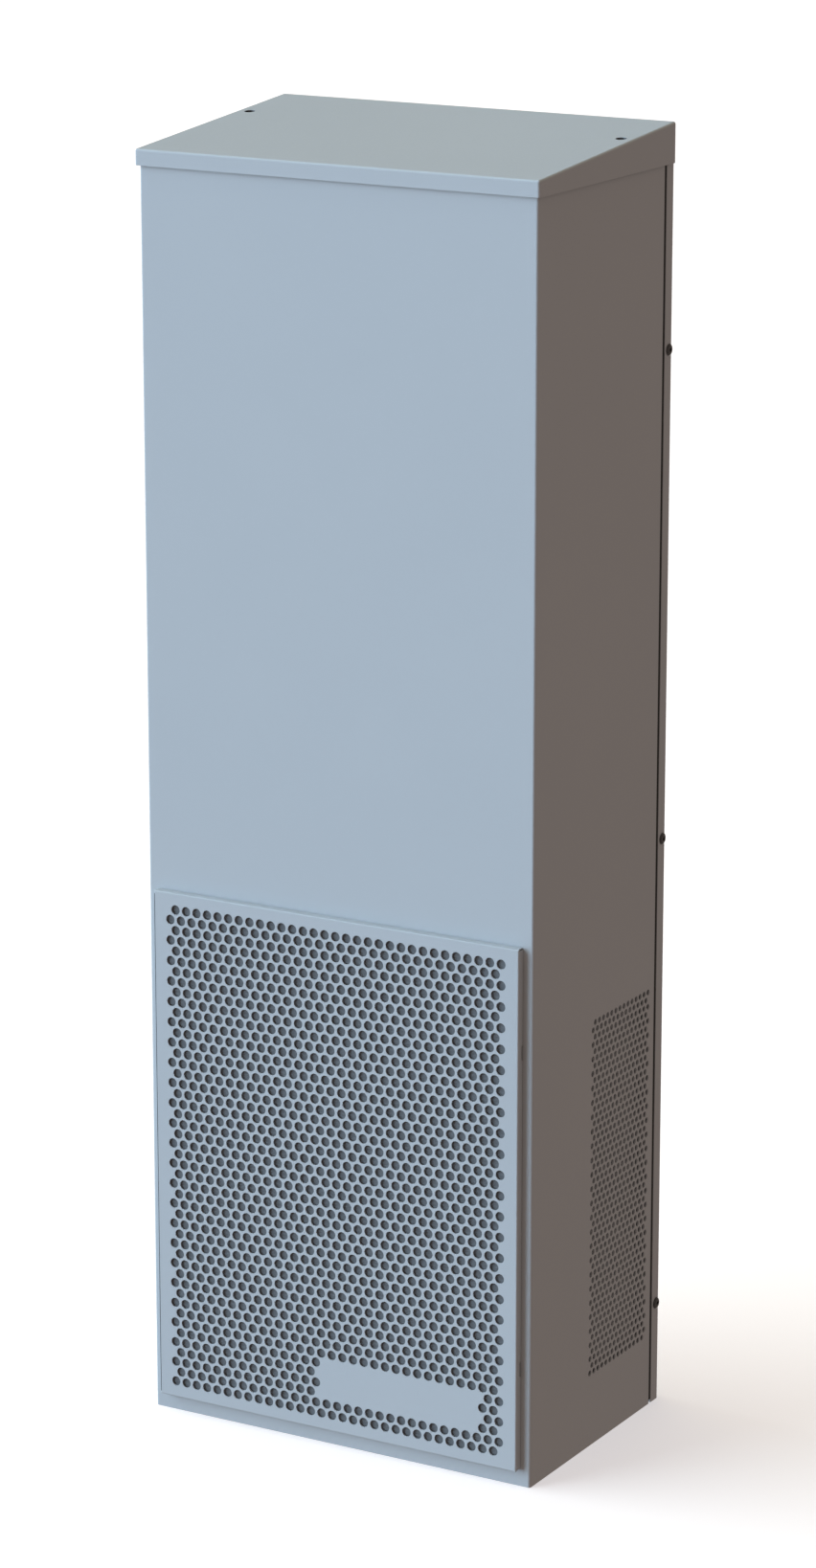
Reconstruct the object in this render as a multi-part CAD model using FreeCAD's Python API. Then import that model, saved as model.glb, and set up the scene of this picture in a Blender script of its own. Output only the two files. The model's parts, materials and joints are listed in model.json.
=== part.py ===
import FreeCAD, Part
import math
import os

# Enclosure air conditioner for the side or door of an electrical cabinet.
# All sizes are in millimetres.
# X runs left to right, Y from the front to the cabinet, Z up from the floor.
# Y is measured here from the front face of the cover.
# The finished part is moved so that its origin is at the middle of its base.

# Sheet metal
sheet = 1.5
bend_radius = 2.0
fit = 0.3

# Cover
body_width = 354.0
cover_depth = 206.0
cover_height = 1043.0
corner_return = 4.0
window_width = 296.0
window_height = 400.0
window_bottom = 32.0

# Rear frame
frame_gap = 4.0
frame_depth = 12.5
tab_clearance = 0.8
tab_end_clearance = 2.0
seal_inset = 0.8
seal_clearance = 0.3

# Cover screws, three on each side
screw_radius = 2.5
screw_hole_clearance = 0.25
screw_head_radius = 4.8
screw_head_height = 2.4
screw_dome_radius = 3.0
screw_rim_height = 0.7
screw_socket_radius = 1.8
screw_socket_floor = 1.1
screw_length = 9.0
screw_edge = 5.6
screw_first_height = 86.0
screw_spacing = 400.5
screws_per_side = 3

# Roof hood
roof_overhang = 2.5
roof_front_overhang = 3.0
roof_rear = 218.5
roof_lip = 13.0
roof_lip_bottom = 1034.5
roof_slope = 5.0
roof_rear_wall_gap = 2.0
lift_hole_radius = 4.5
lift_hole_spacing = 336.0
lift_hole_depth = 149.0
lift_boss_radius = 8.0
lift_thread_radius = 3.4
top_flange_height = 13.5
top_flange_width = 300.0
roof_screw_spacing = 240.0
roof_screw_rise = 7.0
roof_screw_head_radius = 4.8
roof_screw_head_height = 2.4
roof_screw_dome_radius = 3.4

# Front grille
grille_width = 336.4
grille_height = 435.0
grille_bottom = 14.4
grille_stand = 7.5
grille_sheet = 1.0
grille_edge_radius = 1.1
grille_gap = 0.4
grille_corner_relief = 1.6
pry_notch_length = 12.0
pry_notch_depth = 1.8
catch_spacing = 264.0
catch_inset = 5.6

# Front perforation, in staggered rows with one bare patch
hole_radius = 4.0
hole_pitch = 10.0
hole_rows = 48
holes_per_row = 31
patch_first_row = 42
patch_rows = 4
patch_first_hole = 14
patch_holes = 15

# Side perforation, in staggered rows
vent_radius = 2.5
vent_pitch = 7.03
vent_rows = 50
vents_per_row = 14
vent_middle_depth = 148.3
vent_middle_height = 212.5

# Grille catches and filter
pin_radius = 2.0
pin_reach = 6.0
pin_bore_clearance = 0.3
catch_wall = 0.9
catch_seat_clearance = 0.1
catch_flange_radius = 4.0
catch_flange = 1.0
catch_tail = 5.0
filter_thickness = 4.8
filter_margin = 2.4
retainer_thickness = 0.8
retainer_overlap = 6.0

# Cabinet fixing
nut_spacing = 300.0
nut_first_height = 60.0
nut_pitch = 460.0
nut_rows = 3
nut_thread_radius = 2.5
nut_body_radius = 4.5
nut_seat_clearance = 0.1
nut_flange_radius = 6.5
nut_flange = 1.0
nut_length = 12.0
gasket_thickness = 5.0
gasket_width = 12.0
gasket_inset = 3.0

# Rear air openings
intake_radius = 90.0
intake_height = 890.0
outlet_width = 240.0
outlet_height = 110.0
outlet_bottom = 545.0

# Base tray and partition deck
tray_edge = 20.0
deck_height = 500.0
deck_side_room = 5.0
deck_front_room = 4.0
deck_flange = 12.0
deck_seal_height = 10.0
deck_seal_lap = 4.0
lining_thickness = 5.0
lining_gap = 2.0

# Condenser coil, flat tubes with folded fins between two headers
condenser_front = 24.0
condenser_core = 280.0
condenser_depth = 22.0
condenser_bottom = 40.0
condenser_tubes_count = 27
evaporator_front = 110.0
evaporator_core = 240.0
evaporator_depth = 25.0
evaporator_tubes_count = 16
tube_pitch = 15.0
tube_thickness = 3.0
fin_thickness = 0.5
fin_pitch = 14.0
header_width = 18.0
header_rise = 8.0
header_edge_radius = 4.0

# Condenser fan and its shroud
shroud_depth = 62.0
shroud_wing_rear = 196.5
fan_height = 330.0
fan_radius = 112.0
fan_tip_gap = 4.0
fan_ring_length = 28.0
fan_hub_radius = 32.0
fan_hub_gap = 4.0
fan_hub_length = 26.0
fan_hub_edge_radius = 4.0
fan_blades = 5
fan_blade_thickness = 2.5
fan_blade_sink = 4.8
fan_blade_root_chord = 38.0
fan_blade_tip_chord = 62.0
fan_blade_root_angle = 42.0
fan_blade_tip_angle = 22.0
motor_radius = 38.0
motor_length = 44.0
motor_gap = 5.0
motor_boss_radius = 17.0
motor_boss_height = 3.0
motor_edge = 3.0
motor_edge_length = 7.0
shaft_radius = 4.0
shaft_clearance = 0.05
shaft_engagement = 28.0
bracket_thickness = 3.0
bracket_width = 36.0
bracket_foot = 16.0
fan_bracket_gap = 14.5

# Compressor
compressor_x = -85.0
compressor_y = 150.0
compressor_radius = 56.0
compressor_wall_top = 212.0
compressor_height = 236.0
compressor_foot_radius = 40.0
compressor_foot_rise = 12.0
compressor_seam = 1.5
compressor_seam_width = 3.0
compressor_seam_drop = 6.0
foot_plate = 3.0
foot_circle = 72.0
foot_angles = (30, 150, 270)
foot_corner_radius = 14.0
grommet_radius = 9.0
grommet_height = 11.0
grommet_cap = 4.0
grommet_neck_radius = 6.0
stud_radius = 3.8
stud_clearance = 0.2
stud_tail = 10.0
nut_outer_radius = 6.5
nut_thickness = 6.0
terminal_radius = 17.0
terminal_height = 22.0
terminal_offset = 18.0
terminal_edge_radius = 3.0

# Refrigerant circuit
accumulator_x = 12.0
accumulator_y = 172.0
accumulator_radius = 24.0
accumulator_bottom = 62.0
accumulator_height = 140.0
accumulator_end = 10.0
suction_radius = 5.0
discharge_radius = 4.0
liquid_radius = 3.0
pipe_hole_clearance = 2.0
suction_rise = 262.0
suction_bend = 10.0
suction_drop = 20.0
pipe_inset = 18.0
discharge_offset = 26.0
discharge_rise = 290.0
discharge_entry = 420.0
discharge_bend = 14.0
liquid_exit = 60.0
liquid_bend = 7.0
liquid_y = 100.0
liquid_jog = 21.0
drier_radius = 11.0
drier_length = 100.0
drier_bottom = 115.0
drier_end = 12.0
valve_radius = 9.0
valve_length = 30.0
valve_gap = 4.5
valve_neck_radius = 5.4
valve_neck = 9.0
liquid_rise = 15.0
suction_entry = 700.0

# Condensate tray and drain
condensate_front = 95.0
condensate_rear = 168.0
condensate_wall = 2.0
condensate_height = 24.0
condensate_side_room = 6.0
drain_x = 110.0
drain_y = 155.0
drain_radius = 6.0
drain_bore = 4.5
grommet_flange = 11.0
grommet_lip = 1.0
grommet_top = 3.0

# Evaporator fan
impeller_radius = 95.0
impeller_eye = 64.0
impeller_front = 153.0
impeller_plate = 3.0
impeller_blade_width = 40.0
impeller_shroud = 2.0
impeller_blades = 9
impeller_blade_inner = 60.0
impeller_blade_sweep = 42.0
impeller_blade_middle_turn = 17.0
impeller_blade_angle = 2.0
impeller_hub_radius = 18.0
impeller_hub_length = 20.0
blower_motor_radius = 45.0
blower_motor_length = 48.0
blower_bracket_side = 130.0
blower_bracket_width = 50.0
inlet_throat = 58.0
inlet_throat_clearance = 1.0
inlet_bell_radius = 66.5
inlet_bell_reach = 16.4
inlet_flange = 10.0
inlet_flange_lap = 1.5
guard_wire = 0.85
guard_spoke_wire = 1.25
guard_weld_gap = 0.05
guard_stand = 0.3
guard_rings = 4
guard_ring_pitch = 20.0
guard_foot_radius = 4.0
guard_foot_height = 3.3
guard_foot_circle = 97.0
guard_spokes = 4

# Electrical box
box_width = 280.0
box_front = 14.0
box_depth = 52.0
box_bottom = 800.0
box_sheet = 1.2
contactor_width = 45.0
contactor_depth = 38.0
contactor_base_depth = 19.0
contactor_step = 15.0
contactor_height = 75.0
contactor_x = -80.0
contactor_bottom = 900.0
capacitor_radius = 18.0
capacitor_length = 80.0
capacitor_x = -10.0
capacitor_edge_radius = 2.0
board_width = 100.0
board_height = 120.0
board_thickness = 1.6
board_standoff = 8.0
board_standoff_radius = 3.0
board_standoff_inset = 6.0
board_x = 78.0
board_bottom = 860.0
connector_x = 110.0
connector_height = 720.0
connector_radius = 11.0
connector_clearance = 0.3
connector_body = 20.0
connector_flange = 28.0
connector_flange_thickness = 2.0
connector_collar = 2.0
connector_collar_wall = 1.5

# Places that follow from the sizes above
Vector = FreeCAD.Vector
right = Vector(1, 0, 0)
back = Vector(0, 1, 0)
up = Vector(0, 0, 1)
sides = (-1, 1)

half_width = body_width / 2
inner_half = half_width - sheet
frame_front = cover_depth + frame_gap
frame_rear = frame_front + frame_depth
plate_face = frame_rear - sheet
gasket_face = frame_rear + gasket_thickness
tab_outer = inner_half - tab_clearance
tab_inner = tab_outer - sheet
tab_trim = sheet + fit
chassis_half = tab_inner - fit
chassis_front = sheet + fit
tray_floor = 2 * sheet
deck_half = chassis_half - deck_side_room
deck_front = chassis_front + deck_front_room
deck_top = deck_height + sheet
pan_top = deck_top + condensate_height
evaporator_bottom = deck_top + condensate_wall + header_rise
screw_depth = frame_rear - screw_edge
screw_heights = [screw_first_height + screw_spacing * i for i in range(screws_per_side)]
nut_heights = [nut_first_height + nut_pitch * i for i in range(nut_rows)]
grille_half = grille_width / 2
grille_top = grille_bottom + grille_height
grille_middle = grille_bottom + grille_height / 2
catch_x = grille_half - catch_inset
catch_heights = [grille_middle + side * catch_spacing / 2 for side in sides]
pin_bore = pin_radius + pin_bore_clearance
catch_body = pin_bore + catch_wall
middle_depth = (gasket_face - grille_stand) / 2


# Helpers

def block(x0, x1, y0, y1, z0, z1):
    return Part.makeBox(x1 - x0, y1 - y0, z1 - z0, Vector(x0, y0, z0))


def rod(start, direction, radius, length):
    return Part.makeCylinder(radius, length, start, direction)


def sleeve(start, direction, outer, inner, length):
    return rod(start, direction, outer, length).cut(rod(start, direction, inner, length))


def join(first, *others):
    return first.multiFuse(list(others)).removeSplitter()


def group(shapes):
    return Part.makeCompound(list(shapes))


def meets(value, place):
    """Whether a coordinate lies on a place, within rounding."""
    return abs(value - place) < 1e-3


def rounded(shape, radius, chosen):
    """Fillets the edges whose middle point is chosen."""
    edges = [edge for edge in shape.Edges if chosen(edge.CenterOfMass)]
    return shape.makeFillet(radius, edges)


def spun(points, centre, axis):
    """A lathe-turned solid from (radius, distance along the axis) corners."""
    across = right if axis != right else up
    corners = [centre + across * radius + axis * along for radius, along in points]
    profile = Part.Face(Part.makePolygon(corners + corners[:1]))
    return profile.revolve(centre, axis, 360)


def pipe(points, radius, bend):
    """A round pipe along straight runs joined by equal bends."""
    edges = []
    start = points[0]
    for before, corner, after in zip(points, points[1:], points[2:]):
        arriving = (corner - before).normalize()
        leaving = (after - corner).normalize()
        inward = (leaving - arriving).normalize()
        half_turn = arriving.getAngle(leaving) / 2
        reach = bend * math.tan(half_turn)
        arc_start = corner - arriving * reach
        arc_end = corner + leaving * reach
        arc_middle = corner + inward * (bend / math.cos(half_turn) - bend)
        edges.append(Part.LineSegment(start, arc_start).toShape())
        edges.append(Part.Arc(arc_start, arc_middle, arc_end).toShape())
        start = arc_end
    edges.append(Part.LineSegment(start, points[-1]).toShape())
    section = Part.Wire(Part.makeCircle(radius, points[0], points[1] - points[0]))
    return Part.Wire(edges).makePipeShell([section], True, False)


def row_rise(pitch):
    return pitch * math.sqrt(3) / 2


def staggered(rows, per_row, pitch):
    """Hole centres about the middle of a field, with rows from the top down."""
    for row in range(rows):
        shift = pitch / 4 if row % 2 == 0 else -pitch / 4
        for place in range(per_row):
            across = (place - (per_row - 1) / 2) * pitch + shift
            height = ((rows - 1) / 2 - row) * row_rise(pitch)
            yield row, place, across, height


def save(node, shape):
    """Writes one node, moved so that the origin is at the middle of the base."""
    solids = shape.Solids
    result = solids[0] if len(solids) == 1 else group(solids)
    result = result.copy()
    result.translate(Vector(0, -middle_depth, 0))
    result.exportStep("parts/" + node + ".step")
    print(node, len(solids), round(result.Volume / 1000, 2), "cm3")


os.makedirs("parts", exist_ok=True)


# Front panel of the cover, wrapped round both corners, with the air window

panel = block(-half_width, half_width, 0, corner_return, 0, cover_height)
panel = rounded(panel, bend_radius, lambda p: meets(p.y, 0) and meets(abs(p.x), half_width))
panel = panel.cut(block(-inner_half, inner_half, sheet, corner_return, 0, cover_height))
window_top = window_bottom + window_height
panel = panel.cut(block(-window_width / 2, window_width / 2, 0, sheet, window_bottom, window_top))
for side in sides:
    for height in catch_heights:
        seat = rod(Vector(side * catch_x, 0, height), back, catch_body + catch_seat_clearance, sheet)
        panel = panel.cut(seat)
save("front_panel", panel)


# Side panels of the cover, stepped in at the rear to lie inside the frame

def side_panel(side):
    step = cover_depth - sheet
    tab_end = plate_face - tab_end_clearance
    outline = [
        (half_width, corner_return), (half_width, cover_depth), (tab_outer, cover_depth),
        (tab_outer, tab_end), (tab_inner, tab_end), (tab_inner, step),
        (inner_half, step), (inner_half, corner_return),
    ]
    corners = [Vector(side * x, y, 0) for x, y in outline]
    wall = Part.Face(Part.makePolygon(corners + corners[:1])).extrude(up * cover_height)
    holes = []
    for _, _, across, height in staggered(vent_rows, vents_per_row, vent_pitch):
        centre = Vector(0, vent_middle_depth + across, vent_middle_height + height)
        holes.append(rod(centre + right * side * inner_half, right * side, vent_radius, sheet))
    for height in screw_heights:
        centre = Vector(side * tab_inner, screw_depth, height)
        holes.append(rod(centre, right * side, screw_radius + screw_hole_clearance, sheet))
    low_x, high_x = sorted((side * tab_inner, side * tab_outer))
    for low in (0, cover_height - tab_trim):
        holes.append(block(low_x, high_x, cover_depth, tab_end, low, low + tab_trim))
    return wall.cut(group(holes))


save("side_panel_left", side_panel(-1))
save("side_panel_right", side_panel(1))


# Rear frame, a shallow pan that carries the works and closes on the cabinet

frame = block(-half_width, half_width, frame_front, frame_rear, 0, cover_height)
frame = rounded(frame, bend_radius, lambda p: meets(p.y, frame_rear) and meets(abs(p.x), half_width))
frame = frame.cut(block(-inner_half, inner_half, frame_front, plate_face, sheet, cover_height - sheet))
frame_cuts = [
    rod(Vector(0, plate_face, intake_height), back, intake_radius, sheet),
    block(-outlet_width / 2, outlet_width / 2, plate_face, frame_rear,
          outlet_bottom, outlet_bottom + outlet_height),
    rod(Vector(connector_x, plate_face, connector_height), back,
        connector_radius + connector_clearance, sheet),
]
for side in sides:
    for height in screw_heights:
        centre = Vector(side * inner_half, screw_depth, height)
        frame_cuts.append(rod(centre, right * side, screw_radius + screw_hole_clearance, sheet))
    for height in nut_heights:
        centre = Vector(side * nut_spacing / 2, plate_face, height)
        frame_cuts.append(rod(centre, back, nut_body_radius + nut_seat_clearance, sheet))
save("rear_frame", frame.cut(group(frame_cuts)))


# Dark seal in the joint between the cover and the frame

seal_front = cover_depth + seal_clearance
seal_rear = frame_front - seal_clearance
seals = []
for side in sides:
    strip = block(tab_outer, half_width - seal_inset, seal_front, seal_rear, tray_floor, cover_height - sheet)
    seals.append(strip if side > 0 else strip.mirror(Vector(0, 0, 0), right))
save("cover_gasket", group(seals))


# Button-head screws through the frame into the cover's tabs

def button_screw(seat, outward):
    head = spun(
        [(0, 0), (screw_head_radius, 0), (screw_head_radius, screw_rim_height),
         (screw_dome_radius, screw_head_height), (0, screw_head_height)],
        seat, outward)
    shank = rod(seat, outward * -1, screw_radius, screw_length)
    socket = Part.makePolygon([
        seat + outward * screw_socket_floor
        + up * screw_socket_radius * math.sin(turn * math.pi / 3)
        + back * screw_socket_radius * math.cos(turn * math.pi / 3)
        for turn in range(7)])
    return join(head, shank).cut(Part.Face(socket).extrude(outward * screw_head_height))


screws = []
for side in sides:
    for height in screw_heights:
        screws.append(button_screw(Vector(side * half_width, screw_depth, height), right * side))
save("cover_screws", group(screws))


# Foam gasket towards the cabinet, and the threaded inserts that hold the unit

gasket_half = half_width - gasket_inset
gasket = block(-gasket_half, gasket_half, frame_rear, gasket_face, gasket_inset, cover_height - gasket_inset)
gasket_hole = gasket_inset + gasket_width
gasket = gasket.cut(block(-half_width + gasket_hole, half_width - gasket_hole, frame_rear, gasket_face,
                          gasket_hole, cover_height - gasket_hole))
save("mounting_gasket", gasket)

nuts = []
for side in sides:
    for height in nut_heights:
        seat = Vector(side * nut_spacing / 2, frame_rear, height)
        flange = rod(seat, back, nut_flange_radius, nut_flange)
        body = rod(seat - back * nut_length, back, nut_body_radius, nut_length)
        bore = rod(seat - back * nut_length, back, nut_thread_radius, nut_length + nut_flange)
        nuts.append(join(flange, body).cut(bore))
save("mounting_nuts", group(nuts))


# Roof hood, sloping to the front, with a lip all round and two lifting holes

roof_half = half_width + roof_overhang
roof_front = -roof_front_overhang
roof_front_top = roof_lip_bottom + roof_lip
slope = math.tan(math.radians(roof_slope))
roof_drop = sheet / math.cos(math.radians(roof_slope))


def roof_top(depth):
    return roof_front_top + (depth - roof_front) * slope


def wedge(half, front, rear, bottom, drop):
    corners = [
        Vector(-half, front, bottom), Vector(-half, rear, bottom),
        Vector(-half, rear, roof_top(rear) - drop), Vector(-half, front, roof_top(front) - drop),
    ]
    return Part.Face(Part.makePolygon(corners + corners[:1])).extrude(right * 2 * half)


def on_roof_edge(point):
    at_top = meets(point.z, roof_top(point.y))
    at_side = meets(abs(point.x), roof_half)
    at_front = meets(point.y, roof_front)
    return at_top and (at_side or at_front) or at_side and at_front


hood = rounded(wedge(roof_half, roof_front, roof_rear, roof_lip_bottom, 0), bend_radius, on_roof_edge)
hood = hood.cut(wedge(roof_half - sheet, roof_front + sheet, roof_rear - sheet, roof_lip_bottom, roof_drop))
rear_wall_bottom = cover_height + roof_rear_wall_gap
hood = hood.cut(block(-roof_half + sheet, roof_half - sheet, roof_rear - sheet, roof_rear,
                      roof_lip_bottom, rear_wall_bottom))
top_plate_top = cover_height + sheet
roof_screw_height = top_plate_top + roof_screw_rise
for side in sides:
    lift = Vector(side * lift_hole_spacing / 2, lift_hole_depth, cover_height)
    hood = hood.cut(rod(lift, up, lift_hole_radius, roof_top(roof_rear) - cover_height))
    screw_place = Vector(side * roof_screw_spacing / 2, roof_rear - sheet, roof_screw_height)
    hood = hood.cut(rod(screw_place, back, screw_radius + screw_hole_clearance, sheet))
save("roof_hood", hood)


# Top plate under the roof, with a flange that the roof is screwed to

flange_rear = roof_rear - sheet
top_plate = join(
    block(-half_width, half_width, 0, flange_rear, cover_height, top_plate_top),
    block(-top_flange_width / 2, top_flange_width / 2, flange_rear - sheet, flange_rear,
          cover_height, top_plate_top + top_flange_height))
bosses = []
roof_screws = []
for side in sides:
    screw_place = Vector(side * roof_screw_spacing / 2, flange_rear - sheet, roof_screw_height)
    top_plate = top_plate.cut(rod(screw_place, back, screw_radius + screw_hole_clearance, sheet))
    head_seat = Vector(side * roof_screw_spacing / 2, roof_rear, roof_screw_height)
    head = spun(
        [(0, 0), (roof_screw_head_radius, 0),
         (roof_screw_dome_radius, roof_screw_head_height), (0, roof_screw_head_height)],
        head_seat, back)
    roof_screws.append(join(head, rod(head_seat, back * -1, screw_radius, screw_length)))
    foot = Vector(side * lift_hole_spacing / 2, lift_hole_depth, top_plate_top)
    boss = sleeve(foot, up, lift_boss_radius, lift_thread_radius, roof_top(roof_rear) - top_plate_top)
    under_roof = wedge(roof_half - sheet, roof_front + sheet, flange_rear, roof_lip_bottom, roof_drop)
    bosses.append(boss.common(under_roof))
save("top_plate", top_plate)
save("lifting_bosses", group(bosses))
save("roof_screws", group(roof_screws))


# Front grille, a folded pan with open corners, pry notches and the perforated face

grille_front = -grille_stand
grille_inner = grille_front + grille_sheet
grille_rear = -grille_gap
pan = block(-grille_half, grille_half, grille_front, grille_rear, grille_bottom, grille_top)
pan = rounded(pan, grille_edge_radius, lambda p: meets(p.y, grille_front))
pan = pan.cut(block(-grille_half + grille_sheet, grille_half - grille_sheet, grille_inner, grille_rear,
                    grille_bottom + grille_sheet, grille_top - grille_sheet))
pan_cuts = []
for side in sides:
    inside = side * (grille_half - grille_sheet)
    outside = side * grille_half
    low_x, high_x = sorted((inside, outside))
    for height in catch_heights:
        pan_cuts.append(block(low_x, high_x, grille_rear - pry_notch_depth, grille_rear,
                              height - pry_notch_length / 2, height + pry_notch_length / 2))
    for low in (grille_bottom, grille_top - grille_corner_relief):
        pan_cuts.append(block(low_x, high_x, grille_inner, grille_rear, low, low + grille_corner_relief))
for row, place, across, height in staggered(hole_rows, holes_per_row, hole_pitch):
    in_patch_rows = patch_first_row <= row < patch_first_row + patch_rows
    in_patch = in_patch_rows and patch_first_hole <= place < patch_first_hole + patch_holes
    if not in_patch:
        centre = Vector(across, grille_front, grille_middle + height)
        pan_cuts.append(rod(centre, back, hole_radius, grille_sheet))
save("front_grille", pan.cut(group(pan_cuts)))


# Push-in pins of the grille and the catches that hold them in the front panel

pins = []
catches = []
for side in sides:
    for height in catch_heights:
        root = Vector(side * catch_x, grille_inner, height)
        shank = rod(root, back, pin_radius, pin_reach - grille_inner)
        tip = Part.makeSphere(pin_radius, Vector(side * catch_x, pin_reach, height))
        pins.append(join(shank, tip))
        seat = Vector(side * catch_x, 0, height)
        flange = rod(seat - back * catch_flange, back, catch_flange_radius, catch_flange)
        bush = join(flange, rod(seat, back, catch_body, sheet + catch_tail))
        bore = rod(seat - back * catch_flange, back, pin_bore, catch_flange + sheet + catch_tail)
        catches.append(bush.cut(bore))
save("grille_pins", group(pins))
save("grille_catches", group(catches))


# Air filter pad behind the perforated face, held by a strip above and below

field_half = (holes_per_row - 1) / 2 * hole_pitch + hole_pitch / 4
field_reach = (hole_rows - 1) / 2 * row_rise(hole_pitch)
filter_half = field_half + hole_radius + filter_margin
filter_reach = field_reach + hole_radius + filter_margin
filter_low = grille_middle - filter_reach
filter_high = grille_middle + filter_reach
filter_back = grille_inner + filter_thickness
save("air_filter", block(-filter_half, filter_half, grille_inner, filter_back, filter_low, filter_high))

retainer_back = filter_back + retainer_thickness
retainers = []
for flange_face, lap, towards in (
        (grille_bottom + grille_sheet, filter_low + retainer_overlap, 1),
        (grille_top - grille_sheet, filter_high - retainer_overlap, -1)):
    strip = block(-filter_half, filter_half, filter_back, retainer_back, *sorted((flange_face, lap)))
    lip_edge = flange_face + towards * retainer_thickness
    lip = block(-filter_half, filter_half, grille_inner, filter_back, *sorted((flange_face, lip_edge)))
    retainers.append(join(strip, lip))
save("filter_retainer", group(retainers))


# Base tray on the frame's lower flange, and the drain bush in it

tray_top = sheet + tray_edge
tray = block(-chassis_half, chassis_half, chassis_front, plate_face, sheet, tray_top)
tray = tray.cut(block(-chassis_half + sheet, chassis_half - sheet, chassis_front + sheet, plate_face,
                      tray_floor, tray_top))
drain_neck = drain_radius + grommet_lip
tray = tray.cut(rod(Vector(drain_x, drain_y, sheet), up, drain_neck + fit, sheet))
stud_places = []
for angle in foot_angles:
    turn = math.radians(angle)
    stud_places.append(Vector(compressor_x + foot_circle * math.cos(turn),
                              compressor_y + foot_circle * math.sin(turn), tray_floor))
save("base_tray", tray)

bush_bottom = Vector(drain_x, drain_y, sheet - grommet_lip)
bush_height = grommet_lip + sheet + grommet_top
bush = join(rod(bush_bottom, up, drain_neck, bush_height),
            rod(bush_bottom, up, grommet_flange, grommet_lip),
            rod(Vector(drain_x, drain_y, tray_floor), up, grommet_flange, grommet_top))
save("drain_bush", bush.cut(rod(bush_bottom, up, drain_bore, bush_height)))


# Partition deck between the ambient and cabinet air, with its seal

pipe_x = deck_half - pipe_inset
suction_y = accumulator_y
deck = join(block(-deck_half, deck_half, deck_front, plate_face, deck_height, deck_top),
            block(-deck_half, deck_half, plate_face - sheet, plate_face, deck_height, deck_top + deck_flange))
deck_holes = (
    (pipe_x, suction_y, suction_radius + pipe_hole_clearance),
    (pipe_x, liquid_y, liquid_radius + pipe_hole_clearance),
    (drain_x, drain_y, drain_radius + fit),
)
for x, y, radius in deck_holes:
    deck = deck.cut(rod(Vector(x, y, deck_height), up, radius, sheet))
save("partition_deck", deck)

seal_end = cover_depth - sheet - fit
seal_top = deck_top + deck_seal_height
seal = block(-inner_half + fit, inner_half - fit, chassis_front, seal_end, deck_top, seal_top)
seal_inner = deck_half - deck_seal_lap
seal = seal.cut(block(-seal_inner, seal_inner, deck_front + deck_seal_lap, seal_end, deck_top, seal_top))
save("partition_seal", seal)

lining_bottom = seal_top + lining_gap
lining_top = cover_height - lining_gap
lining = block(-inner_half, inner_half, sheet, seal_end, lining_bottom, lining_top)
lining_half = inner_half - lining_thickness
lining = lining.cut(block(-lining_half, lining_half, sheet + lining_thickness, seal_end,
                          lining_bottom, lining_top))
for side in sides:
    low_x, high_x = sorted((side * inner_half, side * (inner_half - fit)))
    lining = lining.cut(block(low_x, high_x, sheet, corner_return, lining_bottom, lining_top))
save("insulation_lining", lining)


# Heat exchangers: flat tubes between two headers, with a folded fin in each gap

def coil_top(bottom, tubes_count):
    return bottom + (tubes_count - 1) * tube_pitch + tube_thickness + header_rise


def flat_tube(core, front, depth, low):
    """A tube with two flat faces and round edges, lying from header to header."""
    radius = tube_thickness / 2
    left = -core / 2

    def at(y, z):
        return Vector(left, front + y, low + z)
    near, far, top = radius, depth - radius, tube_thickness
    outline = Part.Wire([
        Part.LineSegment(at(near, 0), at(far, 0)).toShape(),
        Part.Arc(at(far, 0), at(depth, radius), at(far, top)).toShape(),
        Part.LineSegment(at(far, top), at(near, top)).toShape(),
        Part.Arc(at(near, top), at(0, radius), at(near, 0)).toShape()])
    return Part.Face(outline).extrude(right * core)


def flat_tube_coil(core, front, depth, bottom, tubes_count):
    half = core / 2
    tubes = []
    fins = []
    teeth = int(core / fin_pitch)
    step = core / teeth / 2
    for i in range(tubes_count):
        low = bottom + i * tube_pitch
        tubes.append(flat_tube(core, front, depth, low))
        if i == tubes_count - 1:
            break
        floor = low + tube_thickness
        crest = low + tube_pitch
        upper = []
        lower = []
        for k in range(2 * teeth + 1):
            peak = k % 2
            upper.append(Vector(-half + k * step, front, crest if peak else floor + fin_thickness))
            lower.append(Vector(-half + k * step, front, crest - fin_thickness if peak else floor))
        outline = upper + lower[::-1]
        fins.append(Part.Face(Part.makePolygon(outline + outline[:1])).extrude(back * depth))
    top = coil_top(bottom, tubes_count)
    headers = []
    for side in sides:
        low_x, high_x = sorted((side * half, side * (half + header_width)))
        header = block(low_x, high_x, front, front + depth, bottom - header_rise, top)
        outer = side * (half + header_width)
        header = rounded(header, header_edge_radius,
                         lambda p: meets(p.x, outer) and (meets(p.y, front) or meets(p.y, front + depth)))
        headers.append(header)
    return group(tubes), group(fins), group(headers)


tubes, fins, headers = flat_tube_coil(
    condenser_core, condenser_front, condenser_depth, condenser_bottom, condenser_tubes_count)
save("condenser_tubes", tubes)
save("condenser_fins", fins)
save("condenser_headers", headers)
feet = []
header_foot = condenser_bottom - header_rise
for side in sides:
    low_x, high_x = sorted((side * condenser_core / 2, side * (condenser_core / 2 + header_width)))
    foot = block(low_x, high_x, condenser_front, condenser_front + condenser_depth, tray_floor, header_foot)
    hollow = block(low_x, high_x, condenser_front + sheet, condenser_front + condenser_depth,
                   tray_floor + sheet, header_foot - sheet)
    feet.append(foot.cut(hollow))
save("condenser_feet", group(feet))

tubes, fins, headers = flat_tube_coil(
    evaporator_core, evaporator_front, evaporator_depth, evaporator_bottom, evaporator_tubes_count)
save("evaporator_tubes", tubes)
save("evaporator_fins", fins)
save("evaporator_headers", headers)


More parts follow.
